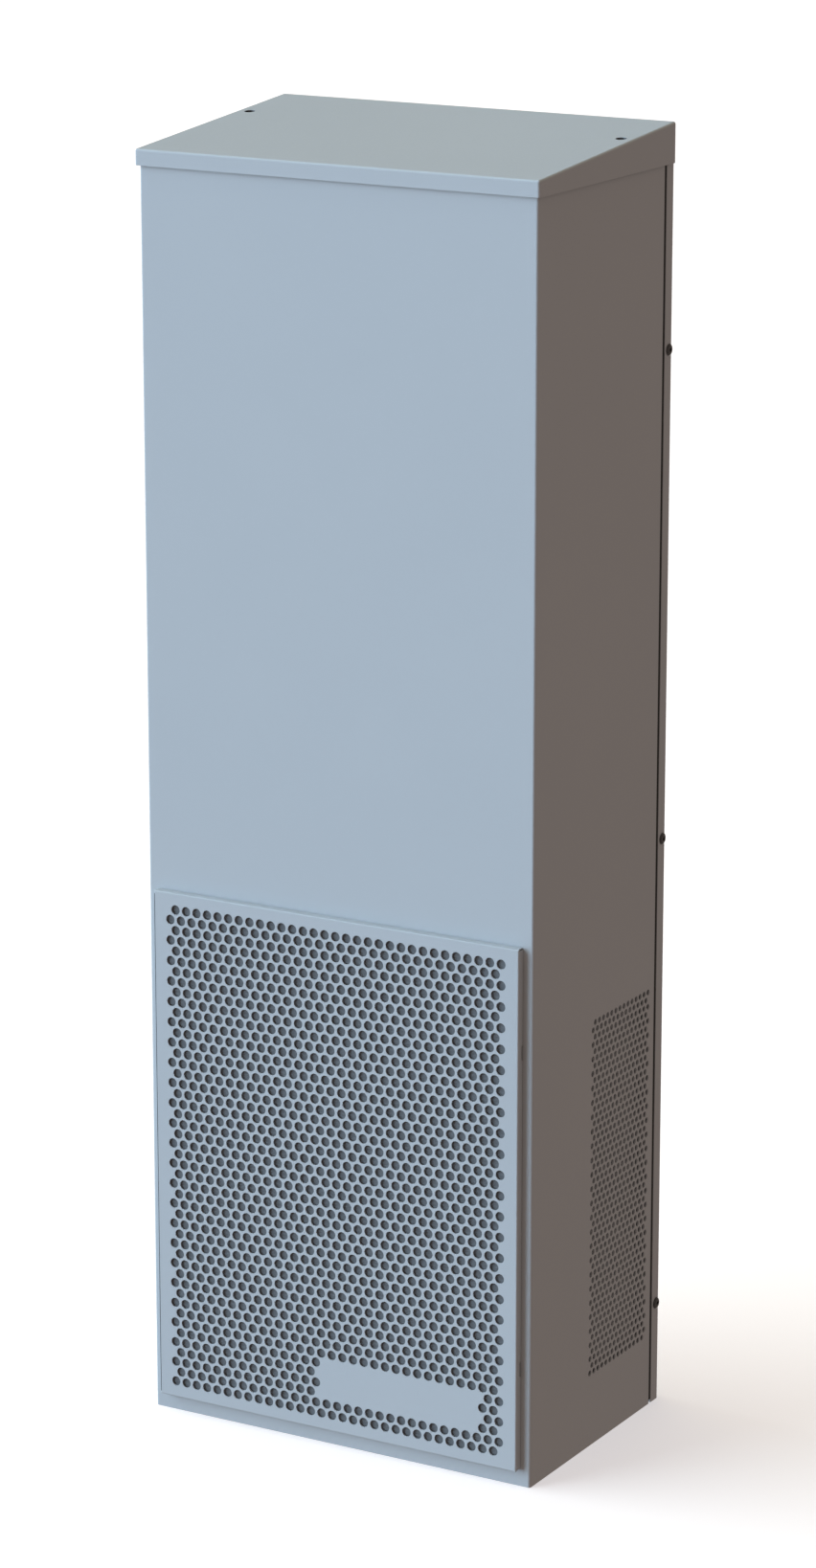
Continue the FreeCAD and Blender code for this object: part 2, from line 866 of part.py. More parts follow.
# Fan shroud across the ambient section, with the fan ring and two pipe holes
# Its ends are folded back behind the side vents, to keep splashed water out

shroud_rear = shroud_depth + sheet
ring_radius = fan_radius + fan_tip_gap
fan_centre = Vector(0, 0, fan_height)
header_pipe_x = (condenser_core + header_width) / 2
wings = []
for side in sides:
    low_x, high_x = sorted((side * deck_half, side * (deck_half - sheet)))
    wings.append(block(low_x, high_x, shroud_depth, shroud_wing_rear, tray_floor, deck_height))
shroud = join(block(-deck_half, deck_half, shroud_depth, shroud_rear, tray_floor, deck_height), *wings)
shroud = rounded(shroud, bend_radius, lambda p: meets(p.y, shroud_depth) and meets(abs(p.x), deck_half))
fan_ring = rod(fan_centre + back * shroud_depth, back, ring_radius + sheet, sheet + fan_ring_length)
shroud = join(shroud, fan_ring)
shroud_cuts = [
    rod(fan_centre + back * shroud_depth, back, ring_radius, sheet + fan_ring_length),
    rod(Vector(-header_pipe_x, shroud_depth, discharge_entry), back,
        discharge_radius + pipe_hole_clearance, sheet),
    rod(Vector(header_pipe_x, shroud_depth, liquid_exit), back, liquid_radius + pipe_hole_clearance, sheet),
]
save("fan_shroud", shroud.cut(group(shroud_cuts)))


# Condenser fan: hub, twisted blades and shaft

def blade_section(radius, chord, angle, middle):
    tilt = math.radians(angle)
    along = Vector(0, math.sin(tilt), math.cos(tilt)) * (chord / 2)
    across = Vector(0, math.cos(tilt), -math.sin(tilt)) * (fan_blade_thickness / 2)
    centre = Vector(radius, middle, 0)
    corners = [centre - along - across, centre + along - across, centre + along + across,
               centre - along + across]
    return Part.makePolygon(corners + corners[:1])


hub_front = shroud_rear + fan_hub_gap
hub_middle = hub_front + fan_hub_length / 2
hub = rod(Vector(0, hub_front, 0), back, fan_hub_radius, fan_hub_length)
hub = rounded(hub, fan_hub_edge_radius, lambda p: meets(p.y, hub_front))
middle_radius = (fan_hub_radius + fan_radius) / 2
middle_chord = (fan_blade_root_chord + fan_blade_tip_chord) / 2
middle_angle = (fan_blade_root_angle + fan_blade_tip_angle) / 2
blade = Part.makeLoft([
    blade_section(fan_hub_radius - fan_blade_sink, fan_blade_root_chord, fan_blade_root_angle, hub_middle),
    blade_section(middle_radius, middle_chord, middle_angle, hub_middle),
    blade_section(fan_radius, fan_blade_tip_chord, fan_blade_tip_angle, hub_middle)], True, True)
blade = blade.common(rod(Vector(0, shroud_depth, 0), back, fan_radius, fan_ring_length + fan_hub_length))
blades = []
for i in range(fan_blades):
    turned = blade.copy()
    turned.rotate(Vector(0, 0, 0), back, 360 * i / fan_blades)
    blades.append(turned)
rotor = join(hub, *blades)
rotor = rotor.cut(rod(Vector(0, hub_front + sheet, 0), back, shaft_radius + shaft_clearance, fan_hub_length))
rotor.translate(fan_centre)
save("condenser_fan_rotor", rotor)

motor_face = hub_front + fan_hub_length + motor_gap
shaft_front = hub_front + sheet
shaft_end = motor_face + shaft_engagement
save("condenser_fan_shaft", rod(fan_centre + back * shaft_front, back, shaft_radius, shaft_end - shaft_front))


def fan_motor(face, radius, length, centre):
    """A round motor with a boss at its shaft end and sloped edges."""
    return spun(
        [(0, 0), (motor_boss_radius, 0), (motor_boss_radius, motor_boss_height),
         (radius - motor_edge, motor_boss_height), (radius, motor_boss_height + motor_edge_length),
         (radius, length - motor_edge_length), (radius - motor_edge, length), (0, length)],
        centre + back * face, back)


motor = fan_motor(motor_face, motor_radius, motor_length, fan_centre)
bore_length = shaft_engagement + fit
save("condenser_fan_motor", motor.cut(
    rod(fan_centre + back * motor_face, back, shaft_radius + shaft_clearance, bore_length)))


# Motor bracket: a bar behind the motor with two legs to the shroud

def strap_bracket(side_at, width, bar_low, bar_high, leg_end, centre_height):
    """A bent strap whose bar holds a motor and whose legs end at a wall."""
    low = centre_height - width / 2
    high = centre_height + width / 2
    pieces = [block(-side_at - bracket_thickness, side_at + bracket_thickness, bar_low, bar_high, low, high)]
    leg_low, leg_high = sorted((leg_end, (bar_low + bar_high) / 2))
    towards = 1 if leg_end < bar_low else -1
    foot_low, foot_high = sorted((leg_end, leg_end + towards * bracket_thickness))
    for side in sides:
        x0, x1 = sorted((side * side_at, side * (side_at + bracket_thickness)))
        pieces.append(block(x0, x1, leg_low, leg_high, low, high))
        x0, x1 = sorted((side * side_at, side * (side_at + bracket_foot)))
        pieces.append(block(x0, x1, foot_low, foot_high, low, high))
    return join(*pieces)


motor_rear = motor_face + motor_length
fan_bracket_side = ring_radius + sheet + fan_bracket_gap
save("condenser_motor_bracket", strap_bracket(
    fan_bracket_side, bracket_width, motor_rear, motor_rear + bracket_thickness, shroud_rear, fan_height))


# Compressor on its rubber feet

foot_level = tray_floor + grommet_height
shell_bottom = foot_level + foot_plate
centre = Vector(compressor_x, compressor_y, 0)
wall_low = shell_bottom + compressor_foot_rise
crown_rise = compressor_height - compressor_wall_top
crown_radius = (compressor_radius ** 2 + crown_rise ** 2) / (2 * crown_rise)
crown_turn = math.asin(compressor_radius / crown_radius) / 2
crown_middle = Vector(crown_radius * math.sin(crown_turn), 0,
                      compressor_height - crown_radius * (1 - math.cos(crown_turn)))
shell_foot = Vector(0, 0, shell_bottom)
foot_rim = Vector(compressor_foot_radius, 0, shell_bottom)
wall_foot = Vector(compressor_radius, 0, wall_low)
wall_rim = Vector(compressor_radius, 0, compressor_wall_top)
crown = Vector(0, 0, compressor_height)
profile = [
    Part.LineSegment(shell_foot, foot_rim),
    Part.LineSegment(foot_rim, wall_foot),
    Part.LineSegment(wall_foot, wall_rim),
    Part.Arc(wall_rim, crown_middle, crown),
    Part.LineSegment(crown, shell_foot),
]
shell = Part.Face(Part.Wire([line.toShape() for line in profile])).revolve(Vector(0, 0, 0), up, 360)
seam = rod(Vector(0, 0, compressor_wall_top - compressor_seam_drop), up,
           compressor_radius + compressor_seam, compressor_seam_width)
shell = join(shell, seam)
shell.translate(centre)
terminal_place = centre + Vector(-terminal_offset, 0, 0)
terminal = rod(terminal_place + up * compressor_wall_top, up, terminal_radius,
               crown_rise + terminal_height)
terminal = rounded(terminal, terminal_edge_radius, lambda p: meets(p.z, compressor_height + terminal_height))
discharge_place = centre + Vector(discharge_offset, 0, 0)
discharge_stub = rod(discharge_place + up * compressor_wall_top, up, discharge_radius + sheet,
                     crown_rise + sheet)
shell = join(shell, discharge_stub)
save("compressor_shell", shell)
save("compressor_terminal_cover", terminal.cut(shell))

triangle = []
corner_reach = foot_circle + foot_corner_radius / math.sin(math.pi / 6)
for angle in foot_angles:
    turn = math.radians(angle)
    triangle.append(centre + Vector(corner_reach * math.cos(turn), corner_reach * math.sin(turn), foot_level))
plate = Part.Face(Part.makePolygon(triangle + triangle[:1])).extrude(up * foot_plate)
plate = rounded(plate, foot_corner_radius, lambda p: meets(p.z, foot_level + foot_plate / 2))
grommets = []
studs = []
for place in stud_places:
    plate = plate.cut(rod(place, up, grommet_neck_radius + stud_clearance, foot_level))
    grommet = join(rod(place, up, grommet_radius, grommet_height),
                   rod(place, up, grommet_neck_radius, grommet_height + foot_plate + grommet_cap),
                   rod(place + up * (grommet_height + foot_plate), up, grommet_radius, grommet_cap))
    total = grommet_height + foot_plate + grommet_cap
    grommets.append(grommet.cut(rod(place, up, stud_radius + stud_clearance, total)))
    stud = rod(place, up, stud_radius, total + stud_tail)
    studs.append(join(stud, rod(place + up * total, up, nut_outer_radius, nut_thickness)))
save("compressor_foot_plate", plate)
save("compressor_grommets", group(grommets))
save("compressor_studs", group(studs))


# Accumulator and refrigerant pipes

accumulator_top = accumulator_bottom + accumulator_height
accumulator = spun(
    [(0, 0), (suction_radius + sheet, 0), (accumulator_radius, accumulator_end),
     (accumulator_radius, accumulator_height - accumulator_end), (suction_radius + sheet, accumulator_height),
     (0, accumulator_height)],
    Vector(accumulator_x, accumulator_y, accumulator_bottom), up)
save("accumulator", accumulator)

to_shell = (centre - Vector(accumulator_x, accumulator_y, 0)).normalize()
inlet_height = accumulator_bottom - suction_drop
inlet_corner = Vector(accumulator_x, accumulator_y, inlet_height)
shell_side = centre - to_shell * (compressor_radius + fit) + up * inlet_height
shell_run = pipe(
    [Vector(accumulator_x, accumulator_y, accumulator_bottom), inlet_corner, shell_side],
    suction_radius, suction_bend)

header_face = evaporator_core / 2 + header_width
evaporator_middle = evaporator_front + evaporator_depth / 2
evaporator_run = pipe(
    [Vector(accumulator_x, accumulator_y, accumulator_top),
     Vector(accumulator_x, accumulator_y, suction_rise),
     Vector(pipe_x, suction_y, suction_rise),
     Vector(pipe_x, suction_y, suction_entry),
     Vector(pipe_x, evaporator_middle, suction_entry),
     Vector(header_face, evaporator_middle, suction_entry)],
    suction_radius, min(suction_bend, pipe_x - header_face))
save("suction_pipe", group([shell_run, evaporator_run]))

condenser_rear = condenser_front + condenser_depth
stub_top = compressor_height + sheet
save("discharge_pipe", pipe(
    [discharge_place + up * stub_top,
     discharge_place + up * discharge_rise,
     Vector(-header_pipe_x, compressor_y, discharge_rise),
     Vector(-header_pipe_x, compressor_y, discharge_entry),
     Vector(-header_pipe_x, condenser_rear, discharge_entry)],
    discharge_radius, discharge_bend))

drier_top = drier_bottom + drier_length
valve_bottom = pan_top + valve_gap
valve_top = valve_bottom + valve_length
liquid_entry = valve_top + liquid_rise
liquid_place = Vector(pipe_x, liquid_y, 0)
liquid_runs = [
    pipe([Vector(header_pipe_x, condenser_rear, liquid_exit),
          Vector(header_pipe_x, liquid_y - liquid_jog, liquid_exit),
          Vector(pipe_x, liquid_y, liquid_exit),
          Vector(pipe_x, liquid_y, drier_bottom)], liquid_radius, liquid_bend),
    pipe([liquid_place + up * drier_top, liquid_place + up * valve_bottom], liquid_radius, liquid_bend),
    pipe([liquid_place + up * valve_top,
          liquid_place + up * liquid_entry,
          Vector(pipe_x, evaporator_middle, liquid_entry),
          Vector(header_face, evaporator_middle, liquid_entry)],
         liquid_radius, min(liquid_bend, pipe_x - header_face)),
]
save("liquid_pipe", group(liquid_runs))
save("filter_drier", spun(
    [(0, 0), (liquid_radius + sheet, 0), (drier_radius, drier_end), (drier_radius, drier_length - drier_end),
     (liquid_radius + sheet, drier_length), (0, drier_length)],
    liquid_place + up * drier_bottom, up))
save("expansion_valve", spun(
    [(0, 0), (valve_neck_radius, 0), (valve_neck_radius, valve_neck), (valve_radius, valve_neck),
     (valve_radius, valve_length - valve_neck), (valve_neck_radius, valve_length - valve_neck),
     (valve_neck_radius, valve_length), (0, valve_length)],
    liquid_place + up * valve_bottom, up))


# Condensate tray under the evaporator and the drain tube to the base

tray_half = header_face + condensate_side_room
catch_pan = block(-tray_half, tray_half, condensate_front, condensate_rear, deck_top, pan_top)
catch_pan = catch_pan.cut(block(
    -tray_half + condensate_wall, tray_half - condensate_wall, condensate_front + condensate_wall,
    condensate_rear - condensate_wall, deck_top + condensate_wall, pan_top))
catch_pan = catch_pan.cut(rod(Vector(drain_x, drain_y, deck_top), up, drain_bore, condensate_wall))
save("condensate_tray", catch_pan)
drain_low = tray_floor + grommet_top
save("drain_tube", sleeve(Vector(drain_x, drain_y, drain_low), up, drain_radius, drain_bore,
                          deck_top - drain_low))

evaporator_top = coil_top(evaporator_bottom, evaporator_tubes_count)
save("evaporator_baffle", block(-deck_half, deck_half, evaporator_front, plate_face,
                                evaporator_top, evaporator_top + sheet))


# Evaporator fan: radial impeller, shaft, motor and bracket

def impeller_blade():
    """A backward-curved blade between an arc and the same arc turned a little."""
    def at(radius, angle):
        turn = math.radians(angle)
        return Vector(radius * math.cos(turn), 0, radius * math.sin(turn))
    middle = (impeller_blade_inner + impeller_radius) / 2
    first = [at(impeller_blade_inner, 0), at(middle, impeller_blade_middle_turn),
             at(impeller_radius - sheet, impeller_blade_sweep)]
    second = [at(impeller_blade_inner, impeller_blade_angle),
              at(middle, impeller_blade_middle_turn + impeller_blade_angle),
              at(impeller_radius - sheet, impeller_blade_sweep + impeller_blade_angle)]
    outline = Part.Wire([
        Part.Arc(*first).toShape(), Part.LineSegment(first[2], second[2]).toShape(),
        Part.Arc(*second[::-1]).toShape(), Part.LineSegment(second[0], first[0]).toShape()])
    return Part.Face(outline)


blower_centre = Vector(0, 0, intake_height)
blade_front = impeller_front + impeller_plate
shroud_face = blade_front + impeller_blade_width
impeller_parts = [
    rod(Vector(0, impeller_front, 0), back, impeller_radius, impeller_plate),
    rod(Vector(0, blade_front, 0), back, impeller_hub_radius, impeller_hub_length),
    sleeve(Vector(0, shroud_face, 0), back, impeller_radius, impeller_eye, impeller_shroud),
]
for i in range(impeller_blades):
    blade = impeller_blade()
    blade.translate(back * (blade_front - impeller_plate / 2))
    blade = blade.extrude(back * (impeller_blade_width + impeller_plate / 2 + impeller_shroud / 2))
    blade.rotate(Vector(0, 0, 0), back, 360 * i / impeller_blades)
    impeller_parts.append(blade)
impeller = join(*impeller_parts)
impeller = impeller.cut(rod(Vector(0, impeller_front, 0), back, shaft_radius + shaft_clearance,
                            impeller_plate + impeller_hub_length))
impeller.translate(blower_centre)
save("evaporator_impeller", impeller)

blower_face = impeller_front - motor_gap
blower_front = blower_face - blower_motor_length
blower_shaft_low = blower_face - shaft_engagement
blower_shaft_high = blade_front + impeller_hub_length
save("evaporator_fan_shaft", rod(blower_centre + back * blower_shaft_low, back, shaft_radius,
                                 blower_shaft_high - blower_shaft_low))
blower_motor = fan_motor(0, blower_motor_radius, blower_motor_length, Vector(0, 0, 0))
blower_motor.rotate(Vector(0, 0, 0), up, 180)
blower_motor.translate(blower_centre + back * blower_face)
blower_bore = rod(blower_centre + back * (blower_face - bore_length), back,
                  shaft_radius + shaft_clearance, bore_length)
save("evaporator_fan_motor", blower_motor.cut(blower_bore))
save("evaporator_motor_bracket", strap_bracket(
    blower_bracket_side, blower_bracket_width, blower_front - bracket_thickness, blower_front,
    plate_face, intake_height))


# Bell-mouth inlet and wire guard of the cabinet air intake

throat_end = shroud_face - inlet_throat_clearance
lip_radius = intake_radius - inlet_flange_lap
bell_middle = throat_end + inlet_bell_reach
bell_offset = sheet / math.sqrt(2)
flow = [(lip_radius, plate_face), (inlet_bell_radius, bell_middle), (inlet_throat, throat_end)]
outer_wall = [(inlet_throat + sheet, throat_end),
              (inlet_bell_radius + bell_offset, bell_middle - bell_offset),
              (lip_radius, plate_face - sheet)]
flange_rim = intake_radius + inlet_flange


def on_bell(radius, depth):
    return Vector(radius, depth, 0)


bell_lines = [
    Part.Arc(*[on_bell(*point) for point in flow]),
    Part.LineSegment(on_bell(*flow[2]), on_bell(*outer_wall[0])),
    Part.Arc(*[on_bell(*point) for point in outer_wall]),
    Part.LineSegment(on_bell(*outer_wall[2]), on_bell(flange_rim, plate_face - sheet)),
    Part.LineSegment(on_bell(flange_rim, plate_face - sheet), on_bell(flange_rim, plate_face)),
    Part.LineSegment(on_bell(flange_rim, plate_face), on_bell(*flow[0])),
]
bell = Part.Face(Part.Wire([line.toShape() for line in bell_lines])).revolve(Vector(0, 0, 0), back, 360)
bell.translate(blower_centre)
save("inlet_ring", bell)

foot_seat = frame_rear + guard_stand
spoke_middle = foot_seat + guard_foot_height / 2
ring_centre = blower_centre + back * (spoke_middle + guard_spoke_wire + guard_weld_gap + guard_wire)
inner_end = guard_ring_pitch - 2 * guard_wire
guard = []
for i in range(guard_rings):
    guard.append(Part.makeTorus(guard_ring_pitch * (i + 1), guard_wire, ring_centre, back))
for i in range(guard_spokes):
    turn = math.pi / 4 + 2 * math.pi * i / guard_spokes
    outward = Vector(math.cos(turn), 0, math.sin(turn))
    spoke = rod(blower_centre + outward * inner_end + back * spoke_middle, outward, guard_spoke_wire,
                guard_foot_circle - inner_end)
    foot = rod(blower_centre + outward * guard_foot_circle + back * foot_seat, back, guard_foot_radius,
               guard_foot_height)
    guard.append(join(spoke, foot))
save("intake_guard", group(guard))


# Electrical box hung from the top plate, its lid and what is in it

box_half = box_width / 2
box_rear = box_front + box_depth
wall_face = box_rear - box_sheet
box = block(-box_half, box_half, box_front, box_rear, box_bottom, cover_height)
box = box.cut(block(-box_half + box_sheet, box_half - box_sheet, box_front, wall_face,
                    box_bottom + box_sheet, cover_height - box_sheet))
save("electrical_box", box)
save("electrical_box_lid", block(-box_half, box_half, box_front - box_sheet, box_front,
                                 box_bottom, cover_height - box_sheet))
contactor_left = contactor_x - contactor_width / 2
contactor_right = contactor_x + contactor_width / 2
contactor_top = contactor_bottom + contactor_height
save("contactor", join(
    block(contactor_left, contactor_right, wall_face - contactor_base_depth, wall_face,
          contactor_bottom, contactor_top),
    block(contactor_left, contactor_right, wall_face - contactor_depth, wall_face - contactor_base_depth,
          contactor_bottom + contactor_step, contactor_top - contactor_step)))
capacitor = rod(Vector(capacitor_x, wall_face - capacitor_radius, contactor_bottom), up,
                capacitor_radius, capacitor_length)
capacitor_top = contactor_bottom + capacitor_length
save("run_capacitor", rounded(capacitor, capacitor_edge_radius, lambda p: meets(p.z, capacitor_top)))
board_rear = wall_face - board_standoff
board_left = board_x - board_width / 2
board_right = board_left + board_width
board_top = board_bottom + board_height
board = block(board_left, board_right, board_rear - board_thickness, board_rear, board_bottom, board_top)
standoffs = []
for x in (board_left + board_standoff_inset, board_right - board_standoff_inset):
    for z in (board_bottom + board_standoff_inset, board_top - board_standoff_inset):
        standoffs.append(rod(Vector(x, board_rear, z), back, board_standoff_radius, board_standoff))
save("controller_board", join(board, *standoffs))

connector_place = Vector(connector_x, 0, connector_height)
flange_half = connector_flange / 2
connector = join(
    rod(connector_place + back * (frame_rear - connector_body), back, connector_radius, connector_body),
    block(connector_x - flange_half, connector_x + flange_half, frame_rear,
          frame_rear + connector_flange_thickness,
          connector_height - flange_half, connector_height + flange_half),
    sleeve(connector_place + back * (frame_rear + connector_flange_thickness), back,
           connector_radius, connector_radius - connector_collar_wall, connector_collar))
save("power_connector", connector)
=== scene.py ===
# %% [markdown]
# An enclosure air conditioner hangs on the wall of an electrical cabinet and keeps the inside cool. Its
# case is folded from painted sheet steel, with a sloping roof, a perforated grille over the filter and
# perforated sides. The frame holds every piece as a solid of its real size. This lesson keeps the folded
# sheets as they are, gives each surface its finish, and builds the soft and the finely divided pieces as
# meshes of their own.

# %% Load the frame
import json
import math

import bmesh
import bpy
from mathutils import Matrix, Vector, noise


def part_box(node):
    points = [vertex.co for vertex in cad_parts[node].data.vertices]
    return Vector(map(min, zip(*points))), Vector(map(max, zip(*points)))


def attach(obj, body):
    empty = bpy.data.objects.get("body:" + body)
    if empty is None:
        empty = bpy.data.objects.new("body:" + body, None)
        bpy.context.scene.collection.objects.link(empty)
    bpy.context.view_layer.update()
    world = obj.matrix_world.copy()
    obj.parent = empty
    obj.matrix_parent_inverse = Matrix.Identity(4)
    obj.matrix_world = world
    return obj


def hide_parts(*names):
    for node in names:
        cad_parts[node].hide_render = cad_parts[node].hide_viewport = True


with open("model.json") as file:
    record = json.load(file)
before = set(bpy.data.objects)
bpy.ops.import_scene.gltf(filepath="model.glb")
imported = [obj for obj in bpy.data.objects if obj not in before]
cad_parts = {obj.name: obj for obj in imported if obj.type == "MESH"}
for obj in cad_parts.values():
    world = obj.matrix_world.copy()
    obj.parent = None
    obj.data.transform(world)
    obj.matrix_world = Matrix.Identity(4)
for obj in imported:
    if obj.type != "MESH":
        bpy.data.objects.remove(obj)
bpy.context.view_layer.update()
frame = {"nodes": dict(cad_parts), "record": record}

nodes = frame["nodes"]
scene = bpy.context.scene

# %% [markdown]
# The camera looks down on the unit from its front right. A long lens from four metres away keeps the
# upright edges almost parallel. It could be aimed by eye, but the two perforated fields are regular grids,
# so its place and its angles can be worked out from them. The picture is taller than wide, so the sensor's
# long side is its height.

# %% Camera
picture_height = 1638
focal_pixels = 5159
sensor_long_side = 36.0
camera_place = Vector((1.9272, -3.3347, 1.5588))
camera_turn = math.radians(30.01)
camera_tilt = math.radians(14.91)

lens = bpy.data.cameras.new("photo_camera")
lens.sensor_width = sensor_long_side
lens.lens = sensor_long_side * focal_pixels / picture_height
camera = bpy.data.objects.new("photo_camera", lens)
camera.location = camera_place
camera.rotation_euler = (math.pi / 2 - camera_tilt, 0, camera_turn)
scene.collection.objects.link(camera)
scene.camera = camera
print("lens", round(lens.lens, 2), "mm")

# %% [markdown]
# The unit stands on a plain white floor that glows a little, like a light table, so the floor stays pale
# and only a faint shadow lies on it. Its own colour is slightly warm, and the cool main light turns that
# into white. A sheet curved up behind the unit would do as well, but a wide flat one looks the same from
# every side. Light thrown back by it would wash out the shaded side, so it is left out of the light that
# bounces between surfaces.

# %% Floor
floor_half = 30.0
floor_colour = (0.88, 0.74, 0.65)
floor_glow = (0.445, 0.472, 0.512)

floor_mesh = bpy.data.meshes.new("floor")
corners = [(-floor_half, -floor_half, 0), (floor_half, -floor_half, 0),
           (floor_half, floor_half, 0), (-floor_half, floor_half, 0)]
floor_mesh.from_pydata(corners, [], [(0, 1, 2, 3)])
floor = bpy.data.objects.new("floor", floor_mesh)
scene.collection.objects.link(floor)
floor.visible_diffuse = False
floor.visible_glossy = False
floor.visible_shadow = False
floor_finish = bpy.data.materials.new("floor_white")
floor_finish.use_nodes = True
floor_shader = floor_finish.node_tree.nodes["Principled BSDF"]
floor_shader.inputs["Base Color"].default_value = (*floor_colour, 1)
floor_shader.inputs["Roughness"].default_value = 1.0
floor_shader.inputs["Specular IOR Level"].default_value = 0.0
floor_shader.inputs["Emission Color"].default_value = (*floor_glow, 1)
floor_shader.inputs["Emission Strength"].default_value = 1.0
floor_mesh.materials.append(floor_finish)
print("floor", 2 * floor_half, "m square")

# %% [markdown]
# The light is soft and comes from far away, so it is the same on the floor near and far. A broad cool light
# stands at the left and low in front, so that the grille throws its shadow to the right. A faint one nearer
# the front reaches into the holes, one overhead serves the roof, and one low behind serves the rear. Lamps
# at real distances would do as well, but their light would fade along the floor.


# %% Lights
def soft_sun(name, comes_from, strength, colour, width):
    """A distant light, as wide in the sky as that many degrees."""
    sun = bpy.data.lights.new(name, "SUN")
    sun.energy = strength
    sun.color = colour
    sun.angle = math.radians(width)
    lamp = bpy.data.objects.new(name, sun)
    lamp.rotation_euler = (-Vector(comes_from)).to_track_quat("-Z", "Y").to_euler()
    scene.collection.objects.link(lamp)


soft_sun("key_light", comes_from=(-0.828, -0.478, 0.292), strength=4.83,
         colour=(0.557, 0.781, 1.0), width=70)
soft_sun("front_light", comes_from=(-0.55, -0.82, 0.16), strength=0.30,
         colour=(0.60, 0.80, 1.0), width=30)
soft_sun("top_light", comes_from=(-0.20, 0.10, 0.97), strength=0.67,
         colour=(0.90, 1.0, 0.73), width=40)
soft_sun("rear_light", comes_from=(-0.48, 0.78, -0.40), strength=1.2,
         colour=(1.0, 0.97, 0.93), width=66)

# %% [markdown]
# What none of the lights reaches is lit by the room, which is dim and warm. Behind the unit the picture is
# plain white. One colour for both would flood the shaded side with light, so the world has two, and only
# the camera sees the white one.

# %% Room and backdrop
room_colour = (0.288, 0.235, 0.21)
backdrop_colour = (1, 1, 1)

world = bpy.data.worlds.new("room")
world.use_nodes = True
scene.world = world
room = world.node_tree
room.nodes.clear()
ambient = room.nodes.new("ShaderNodeBackground")
ambient.inputs["Color"].default_value = (*room_colour, 1)
backdrop = room.nodes.new("ShaderNodeBackground")
backdrop.inputs["Color"].default_value = (*backdrop_colour, 1)
seen = room.nodes.new("ShaderNodeLightPath")
choice = room.nodes.new("ShaderNodeMixShader")
sky = room.nodes.new("ShaderNodeOutputWorld")
room.links.new(seen.outputs["Is Camera Ray"], choice.inputs["Fac"])
room.links.new(ambient.outputs["Background"], choice.inputs[1])
room.links.new(backdrop.outputs["Background"], choice.inputs[2])
room.links.new(choice.outputs["Shader"], sky.inputs["Surface"])
scene.view_settings.view_transform = "Standard"
print("room", room_colour, "backdrop", backdrop_colour)

# %% [markdown]
# A finish is a colour, a gloss and a fine relief, and each of them varies over the surface. All three come
# from noise in the object's own space, whose feature size is given in metres, so a texture keeps its scale
# on every piece and runs on across a seam. Image textures could give the same, but they need unwrapped
# meshes.

# %% A finish and its noise
finishes = {}


def start_finish(name, metallic=0.0, specular=0.5):
    """A new material, kept by the name of its slot, with its node tree and its shader."""
    material = bpy.data.materials.new(name)
    material.use_nodes = True
    shader = material.node_tree.nodes["Principled BSDF"]
    shader.inputs["Metallic"].default_value = metallic
    shader.inputs["Specular IOR Level"].default_value = specular
    finishes[name] = material
    print("finish", name)
    return material.node_tree, shader


def spaced(tree, texture, size, stretch):
    """Feeds a texture with object space, so that its features are that many metres across."""
    space = tree.nodes.new("ShaderNodeTexCoord")
    mapping = tree.nodes.new("ShaderNodeMapping")
    mapping.inputs["Scale"].default_value = [1 / (size * axis) for axis in stretch]
    tree.links.new(space.outputs["Object"], mapping.inputs["Vector"])
    tree.links.new(mapping.outputs["Vector"], texture.inputs["Vector"])
    texture.inputs["Scale"].default_value = 1.0


def grain(tree, size, stretch=(1, 1, 1), detail=3.0):
    """Cloudy noise."""
    texture = tree.nodes.new("ShaderNodeTexNoise")
    texture.inputs["Detail"].default_value = detail
    spaced(tree, texture, size, stretch)
    return texture.outputs[0]


def cells(tree, size, output="Distance"):
    """Crystal or bubble cells."""
    texture = tree.nodes.new("ShaderNodeTexVoronoi")
    spaced(tree, texture, size, (1, 1, 1))
    return texture.outputs[output]


wanted = {subpart["material_slot"] for subpart in frame["record"]["subparts"]}
print("finishes wanted", len(wanted))

# %% [markdown]
# Noise seldom reaches its ends, so only the middle of its range is used, and it is spread over the wanted
# values. A colour ramp would do as well, but a plain range serves colour and gloss alike.

# %% Colour, gloss and relief
noise_low = 0.3
noise_high = 0.7


def between(tree, share, low, high):
    """Turns the middle of a noise's range into a range of values."""
    node = tree.nodes.new("ShaderNodeMapRange")
    node.inputs["From Min"].default_value = noise_low
    node.inputs["From Max"].default_value = noise_high
    node.inputs["To Min"].default_value = low
    node.inputs["To Max"].default_value = high
    tree.links.new(share, node.inputs["Value"])
    return node.outputs["Result"]


def tinted(tree, share, dark, light):
    """A colour between two colours."""
    node = tree.nodes.new("ShaderNodeMix")
    node.data_type = "RGBA"
    colours = [socket for socket in node.inputs if socket.type == "RGBA"]
    colours[0].default_value = (*dark, 1)
    colours[1].default_value = (*light, 1)
    tree.links.new(between(tree, share, 0, 1), node.inputs["Factor"])
    return next(socket for socket in node.outputs if socket.type == "RGBA")


def dress(tree, shader, colour, roughness):
    """Gives a shader its colour and its gloss."""
    tree.links.new(colour, shader.inputs["Base Color"])
    tree.links.new(roughness, shader.inputs["Roughness"])


def relief(tree, shader, heights, depth):
    """Raises and lowers the surface's shading by a depth in metres."""
    node = tree.nodes.new("ShaderNodeBump")
    node.inputs["Distance"].default_value = depth
    node.inputs["Strength"].default_value = 1.0
    tree.links.new(heights, node.inputs["Height"])
    tree.links.new(node.outputs["Normal"], shader.inputs["Normal"])


print("noise is used from", noise_low, "to", noise_high)

